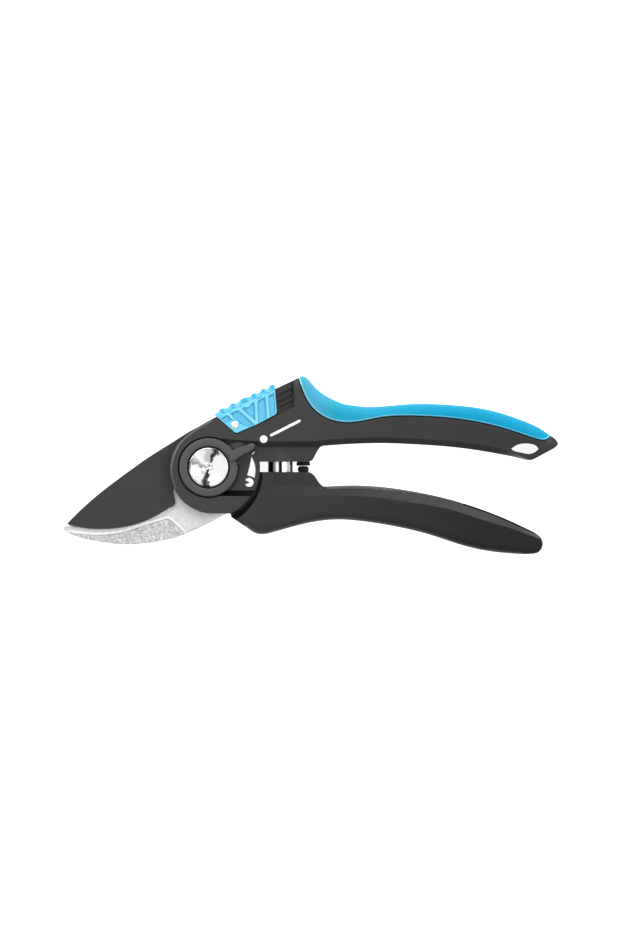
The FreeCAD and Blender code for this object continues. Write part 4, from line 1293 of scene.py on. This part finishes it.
def make_lock_pin():
    centre = (PIN_LOW + PIN_HIGH) / 2
    r, low, high = PIN_HIGH.x - centre.x, PIN_LOW.z, PIN_HIGH.z
    profile = [(0.0, low), (r - 0.2, low), (r, low + 0.2), (r, high - 0.35), (r - 0.3, high - 0.05),
               (r - 0.5, high), (0.5, high), (0.35, high - 0.15), (0.0, high - 0.25)]
    pin = lathe("lock_pin_body", profile, (centre.x, centre.y, 0.0), segments=48)
    piece(pin, "lock", PIN_STEEL, ["lock_pin"])


# ---------------------------------------------------------------- volute spring and stop

def make_spring():
    """Volute spring: a strip wound on edge, of the kind that telescopes as the handles open; this mesh keeps one
    shape.
    """
    pitch, half_turns, radius, strip = 1.2, 5, 5.25, 0.8
    axis_x = SPRING_HIGH.x - radius
    steps = 22 * half_turns
    low, high = SPRING_LOW.y, SPRING_HIGH.y
    vertices, weights = [], []
    for i in range(steps + 1):
        angle = math.pi * half_turns * i / steps
        k = min(int(angle / math.pi), half_turns - 1)
        centre = axis_x - (pitch / 2 if k % 2 else 0.0)
        r = radius - k * pitch / 2
        taper = max(0.0, (r - 0.4 - 3.25) / 2.3) * 5.4
        y0, y1, soft = low + taper, high - taper, 0.22
        section = [
            (r - soft, y0), (r - strip + soft, y0), (r - strip, y0 + soft), (r - strip, y1 - soft),
            (r - strip + soft, y1), (r - soft, y1), (r, y1 - soft), (r, y0 + soft),
        ]
        for rho, y in section:
            vertices.append((centre + rho * math.cos(angle), y, MID + rho * math.sin(angle)))
            weights.append(i / steps)
    faces = []
    for i in range(steps):
        for j in range(8):
            a, b = 8 * i + j, 8 * i + (j + 1) % 8
            faces.append((a, b, b + 8, a + 8))
    faces += [tuple(range(7, -1, -1)), tuple(range(8 * steps, 8 * steps + 8))]
    spring = new_object("spring_strip", vertices, faces)
    shade(spring, 40.0)
    # Painted reflections: dark and bright bands across the spring.
    spring.data.materials.append(SPRING_STEEL_PAINTED_REFLECTIONS)
    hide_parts("volute_spring")
    return spring, weights


def make_stop():
    """Black stub on the upper lug and the rubber bumper that meets it."""
    centre = (STUB_LOW + STUB_HIGH) / 2
    r = (STUB_HIGH.x - STUB_LOW.x) / 2
    low, high = STUB_LOW.y, STUB_HIGH.y
    profile = [(0.0, low), (r - 0.2, low), (r, low + 0.2), (r, low + 0.45), (r, low + 1.3),
               (r - 0.25, low + 1.5), (r - 0.25, high), (0.0, high)]
    stub = lathe("stop_stub_body", profile, (centre.x, 0.0, centre.z), "Y", 64)
    piece(stub, "upper_side", BLACK_RUBBER, ["stop_stub"])

    centre = (BUMPER_LOW + BUMPER_HIGH) / 2
    r = (BUMPER_HIGH.x - BUMPER_LOW.x) / 2
    low, high = BUMPER_LOW.y, BUMPER_HIGH.y
    dome = [(r * math.cos(a) ** 0.6, high - 0.9 + 0.9 * math.sin(a)) for a in np.linspace(0, math.pi / 2, 9)]
    neck = LUG_GAP[0] + 0.05
    profile = [(0.0, low), (r - 0.3, low), (r, low + 0.3), (r, neck - 0.2), (r - 0.25, neck),
               (r - 0.25, neck + 0.3), (r, neck + 0.5)] + dome
    bumper = lathe("bumper_body", profile, (centre.x, 0.0, centre.z), "Y", 64)
    piece(bumper, "lower_side", BLACK_RUBBER, ["bumper"])


# ---------------------------------------------------------------- printed marks

def make_marks():
    """White print: the opening scale on the scale plate and a plain line mark on the handle."""
    scale = {
        "scale_dash": rounded([(17.5, 5.0), (17.9, 4.7), (19.7, 6.4), (19.3, 6.7)], 0.1),
        "scale_wedge": np.concatenate([
            spline([(18.2, 4.6), (19.4, 1.8), (19.85, -0.8), (19.5, -4.4)], 0.4),
            spline([(18.2, -3.8), (16.3, -3.3)], 0.4),
            spline([(16.5, -3.0), (17.3, -0.2), (18.0, 3.2)], 0.4),
        ])[::-1],
        "scale_open": np.concatenate([arc(1.9, -150.0, 150.0, (17.2, -6.4)), [(17.6, -6.4)]]),
    }
    for name, loop in scale.items():
        add_print(name, loop, PLATE_Z)
    slope = math.radians(27.0)
    direction = np.array([math.cos(slope), math.sin(slope)])
    first = np.array([26.6, 13.6])
    add_print("line_mark_dot", circle(1.6, first - direction * 3.6, 0.4), FRONT)
    add_print("line_mark_bar", slot_loop(first, first + direction * 13.5, 0.55), FRONT)


def add_print(name, loop, z):
    mark = block(name, loop, z - 0.02, z + 0.02)
    piece(mark, "upper_side", INK)


# ---------------------------------------------------------------- lower handle's insert

def strip_loop(depth, grow=0.0):
    """Outline of the insert along the lower handle's inner edge."""
    run = LOWER_INNER[(LOWER_INNER[:, 0] > 49.5 - grow) & (LOWER_INNER[:, 0] < 107.8 + grow)]
    taper = np.clip((108.0 - run[:, 0]) / 33.0, 0.1, 1.0)[:, None]
    inner = run + (offset(run, -depth) - run) * taper
    return joined(offset(run, grow), inner[::-1])


def make_strip():
    """Grey insert let into the lower handle's inner edge."""
    strip = block("strip_body", strip_loop(1.25), SHOULDER_Z + 0.1, FRONT - SHOULDER_Z - 0.1, 0.35)
    piece(strip, "lower_side", STRIP_GREY, ["lower_inner_strip"])
    ledge = joined(arc(23.2, -65.0, -5.0), arc(21.0, -5.0, -65.0))
    ledge = block("shoulder_ledge", ledge, 9.3, 11.9)
    piece(ledge, "lower_side", LOWER_BLACK)


# ---------------------------------------------------------------- studio

def make_sky():
    """A bright overcast sky with a darker horizon and two faint dark bars overhead."""
    world = bpy.data.worlds.new("studio")
    bpy.context.scene.world = world
    world.use_nodes = True
    sky = Tree(world.node_tree, "Generated")
    sway = sky.maths("ADD", sky.axis("X"), sky.maths("MULTIPLY", sky.noise(2.2, 1.0), 0.5))
    beside_bar = sky.maths("ABSOLUTE", sky.maths("ADD", sway, -0.27))
    beside_arm = sky.maths("ABSOLUTE", sky.maths("ADD", sky.axis("Y"), sky.maths("MULTIPLY", sway, -0.4)))
    bar = sky.spread(beside_bar, 0.6, 1.0, 0.09, 0.16)
    arm_end = sky.spread(sky.axis("X"), 0.0, 1.0, 0.1, 0.0)
    arm = sky.maths("MAXIMUM", sky.spread(beside_arm, 0.6, 1.0, 0.05, 0.1), arm_end)
    height = sky.spread(sky.axis("Z"), 0.35, 1.0, 0.0, 0.75)
    background = world.node_tree.nodes["Background"]
    sky.link(sky.maths("MULTIPLY", sky.maths("MULTIPLY", bar, arm), height), background.inputs["Strength"])
    background.inputs["Color"].default_value = (1.0, 1.0, 1.0, 1.0)


def make_studio():
    far = 3000.0
    corners = [(-far, -far, 0), (far, -far, 0), (far, far, 0), (-far, far, 0)]
    floor = new_object("floor", corners, [(0, 1, 2, 3)])
    n = Nodes("pale_floor")
    n.colour(n.colours(n.noise(3.0), [(0.0, grey(0.9)), (1.0, grey(0.92))]))
    n.set(Roughness=0.9, Specular_IOR_Level=0.0, Emission_Strength=0.9)
    n.shader.inputs["Emission Color"].default_value = (1.0, 1.0, 1.0, 1.0)
    floor.data.materials.append(n.material)
    make_sky()

    target = Vector((0.043, 0.0, 0.0))
    for name, place, size, power in (
        ("key", (-0.4, 1.1, 1.5), 1.0, 12.0),
        ("fill", (1.0, 0.2, 1.5), 0.8, 5.0),
        ("rim", (-1.2, 0.6, 0.3), 0.4, 6.0),
        ("side", (0.36, 0.75, 0.36), 0.3, 3.0),
    ):
        light = bpy.data.lights.new(name, "AREA")
        light.shape = "RECTANGLE"
        light.size = light.size_y = size
        light.energy = power
        lamp = bpy.data.objects.new(name, light)
        lamp.location = place
        lamp.rotation_euler = (target - Vector(place)).to_track_quat("-Z", "Y").to_euler()
        bpy.context.scene.collection.objects.link(lamp)
    bpy.context.scene.view_settings.view_transform = "Standard"


def make_camera():
    """Straight down on the tool, the way the object is seen, through a long lens."""
    lens = 400.0
    distance_per_lens = 0.01096     # keeps the tool's size in the picture, whatever the lens
    camera = bpy.data.cameras.new("camera")
    camera.lens = lens
    camera.sensor_width = 36.0
    camera.clip_end = 10.0
    obj = bpy.data.objects.new("camera", camera)
    obj.location = (0.04306, 0.00098, FRONT * MM + distance_per_lens * lens)
    bpy.context.scene.collection.objects.link(obj)
    bpy.context.scene.camera = obj


NODE_FINISH = {
    "bright_steel": HOOK_STEEL, "plain_steel": ZINC, "polished_steel": PIN_STEEL, "bronze": BRONZE,
    "black_plastic": BLACK, "grey_plastic": DIAL_GREY, "blue_rubber": BLUE, "black_rubber": BLACK_RUBBER,
    "blue_clear_plastic": CLEAR_BLUE, "chrome": CHROME, "black_coating": COATING,
}


def finish_cad_nodes():
    """The carried-over CAD nodes get the same materials as the pieces around them."""
    for part in frame["record"]["subparts"]:
        node = frame["nodes"][part["node"]]
        node.data.materials.clear()
        node.data.materials.append(NODE_FINISH[part["material_slot"]])


finish_cad_nodes()
make_upper_handle()
make_grip()
make_lower_handle()
make_strip()
make_blade()
make_hook()
make_bolt()
make_dial()
make_slider()
make_lock_pin()
make_stop()
make_marks()

SPRING, SPRING_WEIGHTS = make_spring()
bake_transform(SPRING)

make_studio()
make_camera()
